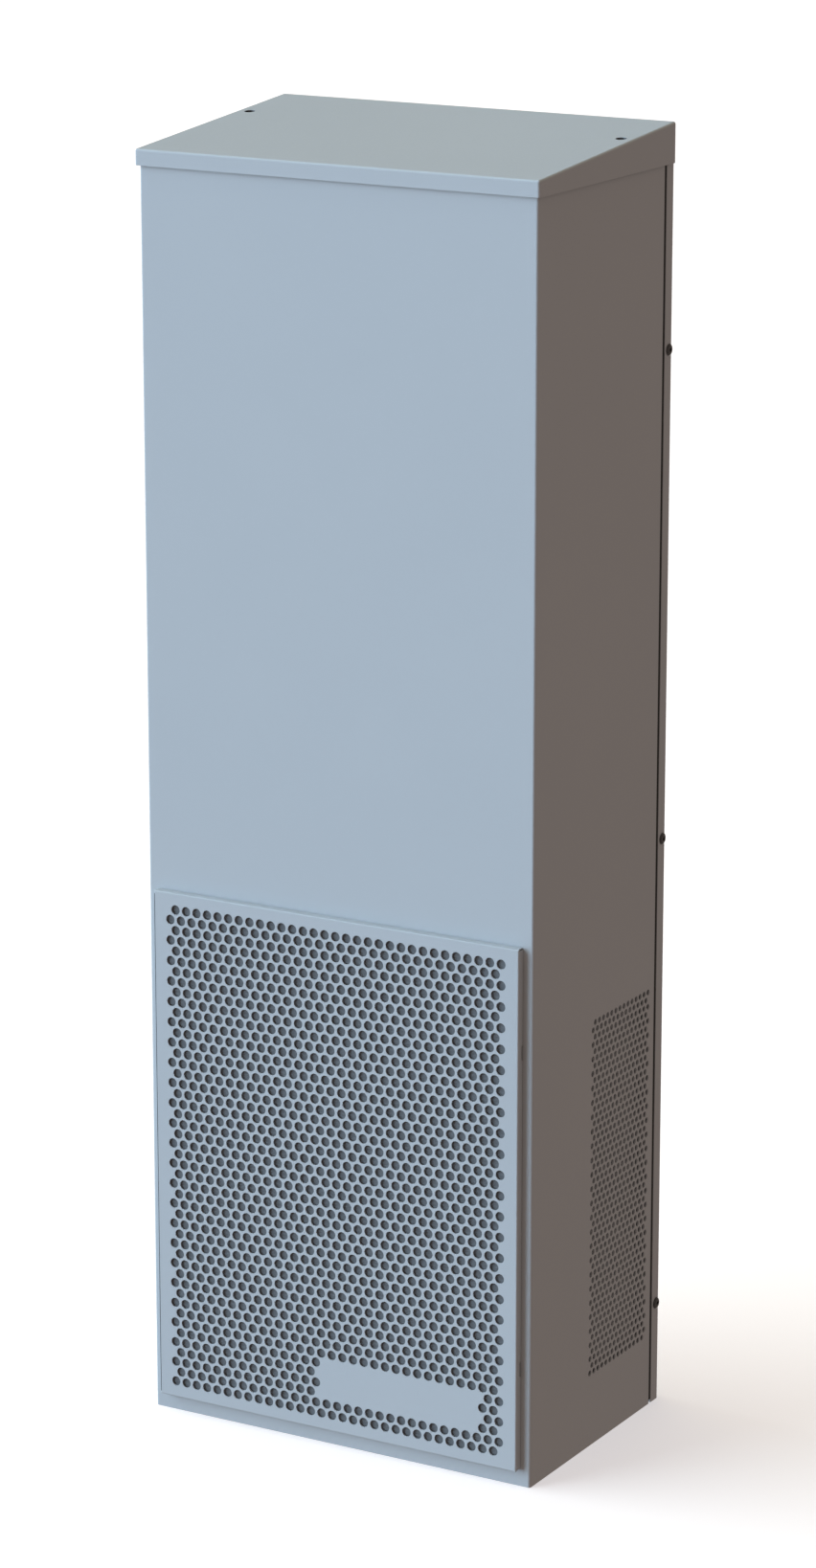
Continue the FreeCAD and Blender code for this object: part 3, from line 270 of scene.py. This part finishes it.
# %% [markdown]
# The case is powder coated: a light grey that is baked on, with the faint skin of an orange and no brush
# marks. The skin is about a millimetre across and a few hundredths deep. One flat grey would be quicker,
# but a slow drift of the tone keeps the large faces from looking like a fill.

# %% Powder coat
tree, shader = start_finish("light_grey_paint", specular=0.3)
peel = grain(tree, size=0.0014)
drift = grain(tree, size=0.12, detail=2.0)
dress(tree, shader,
      colour=tinted(tree, drift, dark=(0.478, 0.499, 0.511), light=(0.487, 0.507, 0.518)),
      roughness=between(tree, peel, low=0.48, high=0.58))
relief(tree, shader, peel, depth=0.00004)

# %% [markdown]
# The inner sheets are galvanised. Zinc sets in crystals about a centimetre wide, and each one reflects a
# little differently. A cell texture gives such crystals at their real size without drawing them, and it
# sets both the tone and the gloss. Plated screws and studs are the same metal without crystals, slightly
# yellow.

# %% Zinc
tree, shader = start_finish("galvanised_sheet", metallic=0.75)
spangle = cells(tree, size=0.012, output="Color")
dress(tree, shader,
      colour=tinted(tree, spangle, dark=(0.46, 0.48, 0.50), light=(0.62, 0.64, 0.66)),
      roughness=between(tree, spangle, low=0.34, high=0.52))
relief(tree, shader, grain(tree, size=0.003), depth=0.00002)

tree, shader = start_finish("zinc_hardware", metallic=0.9)
film = grain(tree, size=0.004)
dress(tree, shader,
      colour=tinted(tree, film, dark=(0.58, 0.57, 0.52), light=(0.68, 0.68, 0.66)),
      roughness=between(tree, film, low=0.24, high=0.38))
relief(tree, shader, grain(tree, size=0.0006), depth=0.00001)

# %% [markdown]
# The side screws are blackened steel, with a thin film of oil that makes the dome shine in patches. The
# wire of the rear guard is bright, with fine marks left by the drawing die. Shafts are ground, so their
# marks run round. Scratches could be modelled one by one, but stretched noise gives them all.

# %% Steel
tree, shader = start_finish("black_screw", specular=0.7)
oil = grain(tree, size=0.0015)
dress(tree, shader,
      colour=tinted(tree, oil, dark=(0.026, 0.025, 0.025), light=(0.046, 0.045, 0.045)),
      roughness=between(tree, oil, low=0.20, high=0.34))
relief(tree, shader, grain(tree, size=0.0004), depth=0.00001)

tree, shader = start_finish("bright_wire", metallic=1.0)
drawn = grain(tree, size=0.0008, stretch=(1, 12, 1))
dress(tree, shader,
      colour=tinted(tree, drawn, dark=(0.62, 0.63, 0.65), light=(0.76, 0.77, 0.78)),
      roughness=between(tree, drawn, low=0.16, high=0.30))
relief(tree, shader, drawn, depth=0.00001)

tree, shader = start_finish("shaft_steel", metallic=1.0)
ground = grain(tree, size=0.0005, stretch=(12, 1, 12))
dress(tree, shader,
      colour=tinted(tree, ground, dark=(0.52, 0.53, 0.54), light=(0.66, 0.67, 0.68)),
      roughness=between(tree, ground, low=0.22, high=0.36))
relief(tree, shader, ground, depth=0.00001)

# %% [markdown]
# Seals are rubber or foam. Moulded rubber is nearly black with a dusty bloom, and foam shows the cut walls
# of its cells, which are about a millimetre wide. Bubbles that small could be meshes, but a relief of cells
# looks the same. The filter is a mat of crimped fibres, so its noise is stretched across the mat.

# %% Rubber, foam and filter mat
tree, shader = start_finish("black_rubber", specular=0.3)
bloom = grain(tree, size=0.006)
dress(tree, shader,
      colour=tinted(tree, bloom, dark=(0.016, 0.016, 0.017), light=(0.030, 0.030, 0.031)),
      roughness=between(tree, bloom, low=0.55, high=0.80))
relief(tree, shader, grain(tree, size=0.0007), depth=0.00003)

tree, shader = start_finish("grey_foam", specular=0.2)
pores = cells(tree, size=0.0013)
dress(tree, shader,
      colour=tinted(tree, pores, dark=(0.030, 0.030, 0.033), light=(0.065, 0.065, 0.069)),
      roughness=between(tree, pores, low=0.75, high=0.95))
relief(tree, shader, pores, depth=0.0003)

tree, shader = start_finish("filter_mat", specular=0.2)
fibres = grain(tree, size=0.0008, stretch=(6, 1, 1.5), detail=5.0)
dress(tree, shader,
      colour=tinted(tree, fibres, dark=(0.128, 0.133, 0.138), light=(0.176, 0.182, 0.187)),
      roughness=between(tree, fibres, low=0.85, high=0.98))
relief(tree, shader, fibres, depth=0.0004)

# %% [markdown]
# The coils are brazed aluminium, bright but slightly stained by the flux, so the stain sets tone and gloss
# together. A clean mirror would be easier, but no coil leaves the furnace like that.

# %% Coil aluminium
tree, shader = start_finish("coil_aluminium", metallic=0.95)
stain = grain(tree, size=0.018)
dress(tree, shader,
      colour=tinted(tree, stain, dark=(0.56, 0.57, 0.58), light=(0.72, 0.73, 0.74)),
      roughness=between(tree, stain, low=0.30, high=0.48))
relief(tree, shader, grain(tree, size=0.0008, stretch=(8, 1, 1)), depth=0.00002)

# %% [markdown]
# Fans, catches and connectors are moulded black plastic with a fine spark-eroded grain. The tray, the hose
# and the circuit board are plastics of other colours. Each could have a finish of its own, but they differ
# only in colour and gloss, so one function makes them all.


# %% Moulded plastics
def moulded(name, dark, light, rough_low, rough_high):
    """A moulded plastic with a fine even grain."""
    tree, shader = start_finish(name)
    sparked = grain(tree, size=0.0006)
    flow = grain(tree, size=0.02, detail=2.0)
    dress(tree, shader,
          colour=tinted(tree, flow, dark, light),
          roughness=between(tree, sparked, rough_low, rough_high))
    relief(tree, shader, sparked, depth=0.00003)


moulded("fan_plastic", dark=(0.018, 0.018, 0.020), light=(0.030, 0.030, 0.032),
        rough_low=0.42, rough_high=0.58)
moulded("tray_plastic", dark=(0.27, 0.28, 0.27), light=(0.32, 0.33, 0.32),
        rough_low=0.40, rough_high=0.55)
moulded("clear_hose", dark=(0.36, 0.38, 0.36), light=(0.42, 0.44, 0.42),
        rough_low=0.18, rough_high=0.30)
moulded("board_green", dark=(0.006, 0.055, 0.022), light=(0.010, 0.080, 0.032),
        rough_low=0.20, rough_high=0.34)

# %% [markdown]
# Motors and the compressor are dipped in black enamel, glossier than the case. The pipes are copper that
# has begun to tarnish. Two materials could be mixed for that, but one colour that turns brown in patches is
# enough. The valve is brass, with fine turning marks.

# %% Enamel, copper and brass
tree, shader = start_finish("motor_paint")
dip = grain(tree, size=0.004)
dress(tree, shader,
      colour=tinted(tree, dip, dark=(0.012, 0.012, 0.013), light=(0.022, 0.022, 0.024)),
      roughness=between(tree, dip, low=0.22, high=0.36))
relief(tree, shader, dip, depth=0.00006)

tree, shader = start_finish("copper_pipe", metallic=1.0)
tarnish = grain(tree, size=0.015)
dress(tree, shader,
      colour=tinted(tree, tarnish, dark=(0.38, 0.17, 0.09), light=(0.74, 0.38, 0.24)),
      roughness=between(tree, tarnish, low=0.22, high=0.45))
relief(tree, shader, grain(tree, size=0.001), depth=0.00001)

tree, shader = start_finish("valve_brass", metallic=1.0)
turned = grain(tree, size=0.0005, stretch=(10, 10, 1))
dress(tree, shader,
      colour=tinted(tree, turned, dark=(0.60, 0.43, 0.16), light=(0.76, 0.58, 0.26)),
      roughness=between(tree, turned, low=0.18, high=0.32))
relief(tree, shader, turned, depth=0.00001)

# %% [markdown]
# Each solid keeps its shape, and only its material changes. They could be dressed by hand, but the record
# says which slot each solid takes its finish from, so one loop does it and none is forgotten.

# %% Finish the solids
for subpart in frame["record"]["subparts"]:
    solid = nodes[subpart["node"]]
    solid.data.materials.clear()
    solid.data.materials.append(finishes[subpart["material_slot"]])

# %% [markdown]
# Soft strips and mats are never true blocks: their edges are rounded by the knife and their faces wander. A
# block of lattice points whose corners are pulled onto a rounded box gives such a form. A subdivided cube
# would do as well, but a lattice lets the points crowd at the edges, where the curve is.

# %% Places along a side
edge_steps = 3


def stations(low, high, edge, spacing):
    """Places along one side, close together in the rounded edges and evenly spaced between them."""
    near = [low + edge * (1 - math.cos(math.pi / 2 * step / edge_steps)) for step in range(edge_steps)]
    far = [high - (place - low) for place in reversed(near)]
    count = max(1, round((high - low - 2 * edge) / spacing))
    inner = [low + edge + (high - low - 2 * edge) * step / count for step in range(count + 1)]
    return near + inner + far


print("places along 20 mm", [round(place, 2) for place in stations(0, 20, 1.2, 4)])

# %% [markdown]
# Only the outside of the lattice is wanted. Each of the six faces is a grid of quads, and a point that two
# or three faces share is made once, so the skin is closed. Merging doubled points afterwards would do as
# well, but it depends on a tolerance.


# %% A skin round a lattice
def lattice_skin(mesh, sides, placed):
    """The six faces of a lattice block, with each lattice point put where placed says."""
    made = {}
    last = [len(side) - 1 for side in sides]

    def point(axis, end, i, j):
        index = [0, 0, 0]
        index[axis] = end
        index[(axis + 1) % 3] = i
        index[(axis + 2) % 3] = j
        key = tuple(index)
        if key not in made:
            made[key] = mesh.verts.new(placed(Vector([sides[k][index[k]] for k in range(3)])))
        return made[key]

    for axis in range(3):
        for end in (0, last[axis]):
            for i in range(last[(axis + 1) % 3]):
                for j in range(last[(axis + 2) % 3]):
                    quad = [point(axis, end, i, j), point(axis, end, i + 1, j),
                            point(axis, end, i + 1, j + 1), point(axis, end, i, j + 1)]
                    mesh.faces.new(quad if end else quad[::-1])


trial = bmesh.new()
lattice_skin(trial, [stations(0, 20, 1.2, 4)] * 3, Vector)
print("a lattice of 20 mm has a skin of", len(trial.faces), "quads")
trial.free()

# %% [markdown]
# Each point of the skin is drawn to within the edge's radius of a smaller block inside, which rounds all
# edges and corners at once. A bevel modifier would round them too, but the faces would stay flat. Here slow
# noise lets them sink in shallow waves, and nothing bulges out of the box that was asked for.


# %% A soft slab
def soft_slab(mesh, low, high, edge, spacing, wander, wave):
    """A rounded block whose faces sink by up to wander, in waves of that length."""
    core_low = Vector(low) + Vector((edge, edge, edge))
    core_high = Vector(high) - Vector((edge, edge, edge))

    def placed(point):
        core = Vector([min(max(point[i], core_low[i]), core_high[i]) for i in range(3)])
        outward = (point - core).normalized()
        sink = wander * (1 + noise.noise(point / wave)) / 2
        return core + outward * (edge - sink)

    sides = [stations(low[i], high[i], edge, spacing) for i in range(3)]
    lattice_skin(mesh, sides, placed)


trial = bmesh.new()
soft_slab(trial, (0, 0, 0), (0.02, 0.01, 0.01), edge=0.001, spacing=0.004, wander=0.0001, wave=0.01)
print("a small slab is closed:", all(border.is_manifold for border in trial.edges))
trial.free()

# %% [markdown]
# A mesh becomes a piece of the unit when it has a finish, rides on a body, and hides the solids that it
# stands for. That could be written out for each piece, but one function keeps every piece complete. Rounded
# forms are shaded smoothly, and their real edges stay sharp.

# %% From mesh to piece
crease_angle = math.radians(35)


def finished_piece(mesh, name, body, slot, *replaced):
    """Turns a built mesh into a piece that moves with a body and stands for the solids that it replaces."""
    bmesh.ops.recalc_face_normals(mesh, faces=mesh.faces[:])
    data = bpy.data.meshes.new(name)
    mesh.to_mesh(data)
    mesh.free()
    data.materials.append(finishes[slot])
    piece = bpy.data.objects.new(name, data)
    scene.collection.objects.link(piece)
    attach(piece, body)
    if replaced:
        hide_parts(*replaced)
    print(name, len(data.vertices), "points")
    return piece


def smooth(piece):
    """Shades a piece smoothly, except across edges sharper than the crease angle."""
    piece.data.polygons.foreach_set("use_smooth", [True] * len(piece.data.polygons))
    piece.data.set_sharp_from_angle(angle=crease_angle)


print("edges above", round(math.degrees(crease_angle)), "degrees stay sharp")

# %% [markdown]
# The filter is a mat of fibres that fills the hollow of the grille and is seen through every hole. It lies
# a little slack behind the sheet, so the rim of each hole throws a small shadow on it. A flat plate would
# show sharp edges where the grille is pulled off, so it is a soft slab whose waves only sink away from the
# metal.

# %% Filter mat
mat_edge = 0.0012
mat_spacing = 0.004
mat_wander = 0.0002
mat_wave = 0.012
mat_slack = 0.0008

mesh = bmesh.new()
low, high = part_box("air_filter")
soft_slab(mesh, low + Vector((0, mat_slack, 0)), high, mat_edge, mat_spacing, mat_wander, mat_wave)
filter_mat = finished_piece(mesh, "filter_mat", "front_grille", "filter_mat", "air_filter")
smooth(filter_mat)

# %% [markdown]
# Between cover and frame runs a rubber strip on each side, squeezed a little out of its joint, so the joint
# looks like a dark line. It could be swept along a path, but a straight strip is just a long soft slab. How
# far it reaches inwards is read from the solid that it stands for.

# %% Cover seal
strip_edge = 0.0003
strip_spacing = 0.012
strip_wander = 0.0001
strip_wave = 0.03
seal_rise = 0.0006


def inner_reach(node):
    """How close a pair of mirrored strips comes to the unit's middle plane."""
    return min(abs(point.co.x) for point in nodes[node].data.vertices)


mesh = bmesh.new()
low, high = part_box("cover_gasket")
for side in (-1, 1):
    left, right = sorted((side * inner_reach("cover_gasket"), side * (high.x + seal_rise)))
    soft_slab(mesh, (left, low.y, low.z), (right, high.y, high.z),
              strip_edge, strip_spacing, strip_wander, strip_wave)
cover_seal = finished_piece(mesh, "cover_seal", "housing", "black_rubber", "cover_gasket")
smooth(cover_seal)

# %% [markdown]
# The rear carries a foam gasket that the cabinet wall presses flat. A frame cut from one sheet would waste
# most of the foam, so it is cut from a roll, and its four strips butt at the corners.

# %% Rear gasket
gasket_width = 0.012
gasket_edge = 0.0013
gasket_spacing = 0.006
gasket_wander = 0.0004
gasket_wave = 0.03
butt_gap = 0.0003

mesh = bmesh.new()
low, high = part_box("mounting_gasket")
inner_x = high.x - gasket_width
strips = []
for side in (-1, 1):
    left, right = sorted((side * inner_x, side * high.x))
    strips.append(((left, low.y, low.z), (right, high.y, high.z)))
for bottom, top in ((low.z, low.z + gasket_width), (high.z - gasket_width, high.z)):
    strips.append(((-inner_x + butt_gap, low.y, bottom), (inner_x - butt_gap, high.y, top)))
for corner, opposite in strips:
    soft_slab(mesh, corner, opposite, gasket_edge, gasket_spacing, gasket_wander, gasket_wave)
rear_gasket = finished_piece(mesh, "rear_gasket", "housing", "grey_foam", "mounting_gasket")
smooth(rear_gasket)

# %% [markdown]
# Inside the cover, the cold half is lined with foam sheet, and a foam strip seals the deck that parts cold
# from warm air. One bent sheet would crease at the corners, so each wall is cut with a knife and glued in,
# and is a slab of its own with soft edges.

# %% Foam lining and deck seal
lining_thickness = 0.005
lining_room = 0.0003
lining_edge = 0.0012
lining_spacing = 0.012
lining_wander = 0.0003
lining_wave = 0.04
deck_seal_front = 0.008


def lined_walls(name, node, slab_front, slab_side):
    """A foam slab along the front and one along each side, within the box of the solid that they replace."""
    mesh = bmesh.new()
    low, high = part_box(node)
    half = high.x - lining_room
    slabs = [((-half, low.y, low.z), (half, low.y + slab_front, high.z))]
    for side in (-1, 1):
        left, right = sorted((side * half, side * (half - slab_side)))
        slabs.append(((left, low.y + slab_front + butt_gap, low.z), (right, high.y, high.z)))
    for corner, opposite in slabs:
        soft_slab(mesh, corner, opposite, lining_edge, lining_spacing, lining_wander, lining_wave)
    piece = finished_piece(mesh, name, "housing", "grey_foam", node)
    smooth(piece)


lined_walls("foam_lining", "insulation_lining", lining_thickness, lining_thickness)
deck_seal_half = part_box("partition_seal")[1].x - lining_room
lined_walls("deck_seal", "partition_seal", deck_seal_front, deck_seal_half - inner_reach("partition_seal"))

# %% [markdown]
# Many pieces can be built as a row of rings, each joined to the next by a band of faces. The ends are
# closed with a face each, or joined to each other when the form is hollow. Blender's spin and extrude tools
# do the same, but rings can change their outline on the way.


# %% Stacked rings
def stacked(mesh, rings, hollow=False):
    """Joins rings of points one after another, and closes the ends, or joins them in a hollow form."""
    made = [[mesh.verts.new(point) for point in points] for points in rings]
    followers = made[1:] + made[:1] if hollow else made[1:]
    for lower, upper in zip(made, followers):
        for i in range(len(lower)):
            j = (i + 1) % len(lower)
            mesh.faces.new((lower[i], lower[j], upper[j], upper[i]))
    if not hollow:
        mesh.faces.new(made[0][::-1])
        mesh.faces.new(made[-1])


trial = bmesh.new()
square = [(0, 0), (1, 0), (1, 1), (0, 1)]
stacked(trial, [[(x, y, height) for x, y in square] for height in (0, 1)])
print("two square rings make a block of", len(trial.faces), "faces")
trial.free()

# %% [markdown]
# A coil's fins are foil, a fifth of a millimetre thick, folded to and fro between two tubes and brazed to
# both at the folds. The solids have coarse folds only. Here the folds have their real spacing, with a short
# flat where they touch the tube. A sheet with a thickness modifier would do as well, but a closed skin
# round the line of the foil is the mesh itself.

# %% Folded fins
tube_pitch = 0.015
tube_thickness = 0.003
fold_pitch = 0.0035
foil = 0.0002
# Each pair is a place along one fold and a height between the tubes, both as shares.
fold_line = ((0.0, 0.0), (0.16, 0.0), (0.5, 1.0), (0.66, 1.0))


def folded_strip(mesh, left, right, front, rear, bottom, top):
    """One strip of foil, folded between the heights bottom and top."""
    folds = round((right - left) / fold_pitch)
    step = (right - left) / folds
    low = bottom + foil / 2
    rise = top - bottom - foil
    line = [Vector((left + (fold + share) * step, low + height * rise))
            for fold in range(folds) for share, height in fold_line]
    line.append(Vector((right, low)))
    rings = []
    for place, point in enumerate(line):
        before = line[max(place - 1, 0)]
        after = line[min(place + 1, len(line) - 1)]
        along = (after - before).normalized()
        across = Vector((-along.y, along.x)) * foil / 2
        upper = point + across
        lower = point - across
        corners = [(upper, front), (upper, rear), (lower, rear), (lower, front)]
        rings.append([(spot.x, depth, min(max(spot.y, bottom), top)) for spot, depth in corners])
    stacked(mesh, rings)


def fin_pack(name, fins, tubes):
    """Folded strips in all gaps between the tubes of one coil."""
    mesh = bmesh.new()
    low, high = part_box(fins)
    tube_low, tube_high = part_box(tubes)
    gaps = round((tube_high.z - tube_low.z - tube_thickness) / tube_pitch)
    for gap in range(gaps):
        bottom = tube_low.z + gap * tube_pitch + tube_thickness
        top = tube_low.z + (gap + 1) * tube_pitch
        folded_strip(mesh, low.x + foil, high.x - foil, low.y, high.y, bottom, top)
    finished_piece(mesh, name, "housing", "coil_aluminium", fins)


fin_pack("condenser_foil", "condenser_fins", "condenser_tubes")
fin_pack("evaporator_foil", "evaporator_fins", "evaporator_tubes")

# %% [markdown]
# Round pieces are rings of points about an axis. A cylinder could be added and edited, but a ring that is
# worked out can lie in any plane, slope with the roof, or turn into the hexagon of a screw's socket.

# %% Rings
ring_points = 48
rightward = Vector((1, 0, 0))
rearward = Vector((0, 1, 0))
upward = Vector((0, 0, 1))


def six_sided(turn):
    """How far a hexagon reaches in one direction, where its corners reach 1."""
    return math.cos(math.pi / 6) / math.cos(turn % (math.pi / 3) - math.pi / 6)


def ring(centre, first, second, radius, count=ring_points, outline=None):
    """Points round a centre, in the plane of two directions, on a circle or on another outline."""
    points = []
    for i in range(count):
        turn = 2 * math.pi * i / count
        reach = radius * outline(turn) if outline else radius
        points.append(centre + (first * math.cos(turn) + second * math.sin(turn)) * reach)
    return points


print("a hexagon's flats reach", round(six_sided(math.pi / 6), 3), "of its corners")

# %% [markdown]
# Button-head screws have a low dome with a hexagon socket, pressed in one stroke, so every edge is a little
# round. A hexagon could be cut out of a dome with a boolean, but a stack of rings, of which the last few
# change from a circle to a hexagon, leaves a clean mesh.

# %% Button-head screw
shank_radius = 0.0025
shank_length = 0.009
tip_radius = 0.002
tip_length = 0.00063
head_height = 0.0017
# The inset is a share of the head's radius, and the other shares are of its height.
rim_foot_share = 0.06
rim_top_share = 0.22
rim_inset_share = 0.97
dome_steps = 8
socket_rim = 0.0021
socket_corner = 0.0018
socket_mouth_share = 0.96
socket_floor = 0.0005
drill_radius = 0.00072
drill_floor = 0.000425


def button_screw(mesh, seat, outward, head_radius):
    """A screw whose head stands on a seat and points outward."""
    sideward = outward.cross(upward)

    def level(radius, along, outline=None):
        return ring(seat + outward * along, sideward, upward, radius, outline=outline)

    rings = [level(tip_radius, -shank_length),
             level(shank_radius, tip_length - shank_length),
             level(shank_radius, 0.0),
             level(head_radius * rim_inset_share, 0.0),
             level(head_radius, head_height * rim_foot_share)]
    for step in range(dome_steps + 1):
        turn = math.pi / 2 * step / dome_steps
        rings.append(level(socket_rim + (head_radius - socket_rim) * math.cos(turn),
                           head_height * (rim_top_share + (1 - rim_top_share) * math.sin(turn))))
    rings += [level(socket_corner, head_height * socket_mouth_share, six_sided),
              level(socket_corner, socket_floor, six_sided),
              level(drill_radius, drill_floor)]
    stacked(mesh, rings)


print("a screw is", round(1000 * (shank_length + head_height), 1), "mm long")

# %% [markdown]
# Three black screws hold each side of the cover to the frame, and two plated ones hold the hood at the
# rear. Their places could be typed in, but the boxes of the solids that they stand for give the outermost
# heads, and the rest follow.

# %% Screws in place
head_room = 0.0024

mesh = bmesh.new()
low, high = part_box("cover_screws")
head_radius = (high.y - low.y) / 2
screw_depth = (high.y + low.y) / 2
for side in (-1, 1):
    for height in (low.z + head_radius, (low.z + high.z) / 2, high.z - head_radius):
        seat = Vector((side * (high.x - head_room), screw_depth, height))
        button_screw(mesh, seat, rightward * side, head_radius)
smooth(finished_piece(mesh, "side_screws", "housing", "black_screw", "cover_screws"))

mesh = bmesh.new()
low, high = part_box("roof_screws")
head_radius = (high.z - low.z) / 2
for side in (-1, 1):
    seat = Vector((side * (high.x - head_radius), high.y - head_room, (low.z + high.z) / 2))
    button_screw(mesh, seat, rearward, head_radius)
smooth(finished_piece(mesh, "hood_screws", "housing", "zinc_hardware", "roof_screws"))

# %% [markdown]
# Two round bosses under the roof take the lifting eyes. A thin collar of each fills the roof's hole and a
# deep countersink leads the eye bolt in. Both are black, and that black is painted shade: it stands in for
# the dark inside of the hole and hides the lit edge of the sheet, so the hole looks black from any side.
# Collar and boss follow the slope of the roof. Bending a straight boss would do as well, but rings that
# slope by themselves need no second step.

# %% Lifting bosses
boss_radius = 0.008
boss_bore = 0.0034
boss_chamfer = 0.0005
shade_collar_radius = 0.0044
shade_collar_wall = 0.0003
shade_collar_height = 0.0013
sink_depth = 0.005
roof_slope = math.tan(math.radians(5))


def lifting_boss(mesh, foot, top):
    """A bored boss from a level foot up to a sloping top, with a collar above it."""
    rear_and_up = rearward + upward * roof_slope
    rise = top - foot.z

    def level(radius, height):
        return ring(foot + upward * height, rightward, rearward, radius)

    def sloped(radius, height):
        return ring(foot + upward * (rise + height), rightward, rear_and_up, radius)

    stacked(mesh, [level(boss_bore, 0.0),
                   level(boss_radius - boss_chamfer, 0.0),
                   level(boss_radius, boss_chamfer),
                   sloped(boss_radius, -boss_chamfer),
                   sloped(boss_radius - boss_chamfer, 0.0),
                   sloped(shade_collar_radius, 0.0),
                   sloped(shade_collar_radius, shade_collar_height),
                   sloped(shade_collar_radius - shade_collar_wall, shade_collar_height),
                   sloped(boss_bore, -sink_depth)], hollow=True)


mesh = bmesh.new()
low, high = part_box("lifting_bosses")
for side in (-1, 1):
    foot = Vector((side * (high.x - boss_radius), (low.y + high.y) / 2, low.z))
    lifting_boss(mesh, foot, high.z - boss_radius * roof_slope)
# The black finish of collar and countersink is painted shade that makes each hole look dark.
smooth(finished_piece(mesh, "lifting_sockets", "housing", "black_screw", "lifting_bosses"))

# %% [markdown]
# A fine dark bead runs down the left fold of the grille, from one corner relief to the other, and parts the
# grille from the panel behind it. It is a strip of black rubber on the round of the fold, and its black is
# painted shade, a dark line along the fold. Its section is a thin crescent that follows the fold's radius. A
# line in the paint would have no thickness of its own.

# %% Edge bead
fold_radius = 0.0011
bead_height = 0.00005
bead_start = math.radians(2)
bead_end = math.radians(68)
bead_steps = 6
bead_inset = 0.0022

mesh = bmesh.new()
low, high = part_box("front_grille")
fold_axis = Vector((low.x + fold_radius, low.y + fold_radius, 0))


def bead_section(height, thickness):
    """A crescent on the fold, from the front face towards the left side."""
    centre = fold_axis + upward * height
    outer = []
    inner = []
    for step in range(bead_steps + 1):
        share = step / bead_steps
        turn = bead_start + (bead_end - bead_start) * share
        outward = -rightward * math.sin(turn) - rearward * math.cos(turn)
        crown = thickness * math.sin(math.pi * share)
        outer.append(centre + outward * (fold_radius + crown))
        inner.append(centre + outward * (fold_radius - bead_height))
    return outer + inner[::-1]


stacked(mesh, [bead_section(low.z + bead_inset, 0.0),
               bead_section(low.z + 2 * bead_inset, bead_height),
               bead_section(high.z - 2 * bead_inset, bead_height),
               bead_section(high.z - bead_inset, 0.0)])
# The bead's black rubber is painted shade along the fold.
smooth(finished_piece(mesh, "grille_painted_shade_bead", "front_grille", "black_rubber"))

# %% [markdown]
# The mains inlet at the rear is a moulded socket. Its solid is the bare moulding. The contact pins inside
# the collar are turned brass with a rounded tip, and a small screw holds each corner of its flange. Plain
# cylinders would look cut off, so both are short stacks of rings with a rounded rim.

# %% Rounded stud
stud_points = 24
stud_rim_share = 0.4
stud_rim_steps = 3


def rounded_stud(mesh, foot, radius, height):
    """A short round stud towards the rear, with a rounded rim."""
    rim = min(radius, height) * stud_rim_share
    outline = [(radius, 0.0), (radius, height - rim)]
    for step in range(1, stud_rim_steps + 1):
        turn = math.pi / 2 * step / stud_rim_steps
        outline.append((radius - rim * (1 - math.cos(turn)), height - rim * (1 - math.sin(turn))))
    stacked(mesh, [ring(foot + rearward * along, rightward, upward, reach, stud_points)
                   for reach, along in outline])


print("a stud has", stud_points * (stud_rim_steps + 2), "points")

# %% [markdown]
# The pins stand in a circle round the middle of the inlet, and the screws at the corners of its flange.
# Both stand on the flange's face, which lies one collar's height in front of the solid's rearmost point.
# Copies of one pin could be placed as objects, but joined in one mesh they are one piece to move.

# %% Inlet contacts
pin_radius = 0.0012
pin_circle = 0.0052
pin_height = 0.0017
pin_count = 4
flange_screw_radius = 0.0017
flange_screw_inset = 0.0042
flange_screw_height = 0.0008
inlet_collar = 0.002

low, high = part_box("power_connector")
flange_half = (high.x - low.x) / 2
flange_middle = Vector(((low.x + high.x) / 2, high.y - inlet_collar, (low.z + high.z) / 2))

mesh = bmesh.new()
for i in range(pin_count):
    turn = math.pi / 4 + 2 * math.pi * i / pin_count
    place = flange_middle + (rightward * math.cos(turn) + upward * math.sin(turn)) * pin_circle
    rounded_stud(mesh, place, pin_radius, pin_height)
smooth(finished_piece(mesh, "inlet_pins", "housing", "valve_brass"))

mesh = bmesh.new()
for side in (-1, 1):
    for level in (-1, 1):
        place = flange_middle + (rightward * side + upward * level) * (flange_half - flange_screw_inset)
        rounded_stud(mesh, place, flange_screw_radius, flange_screw_height)
smooth(finished_piece(mesh, "inlet_screws", "housing", "zinc_hardware"))
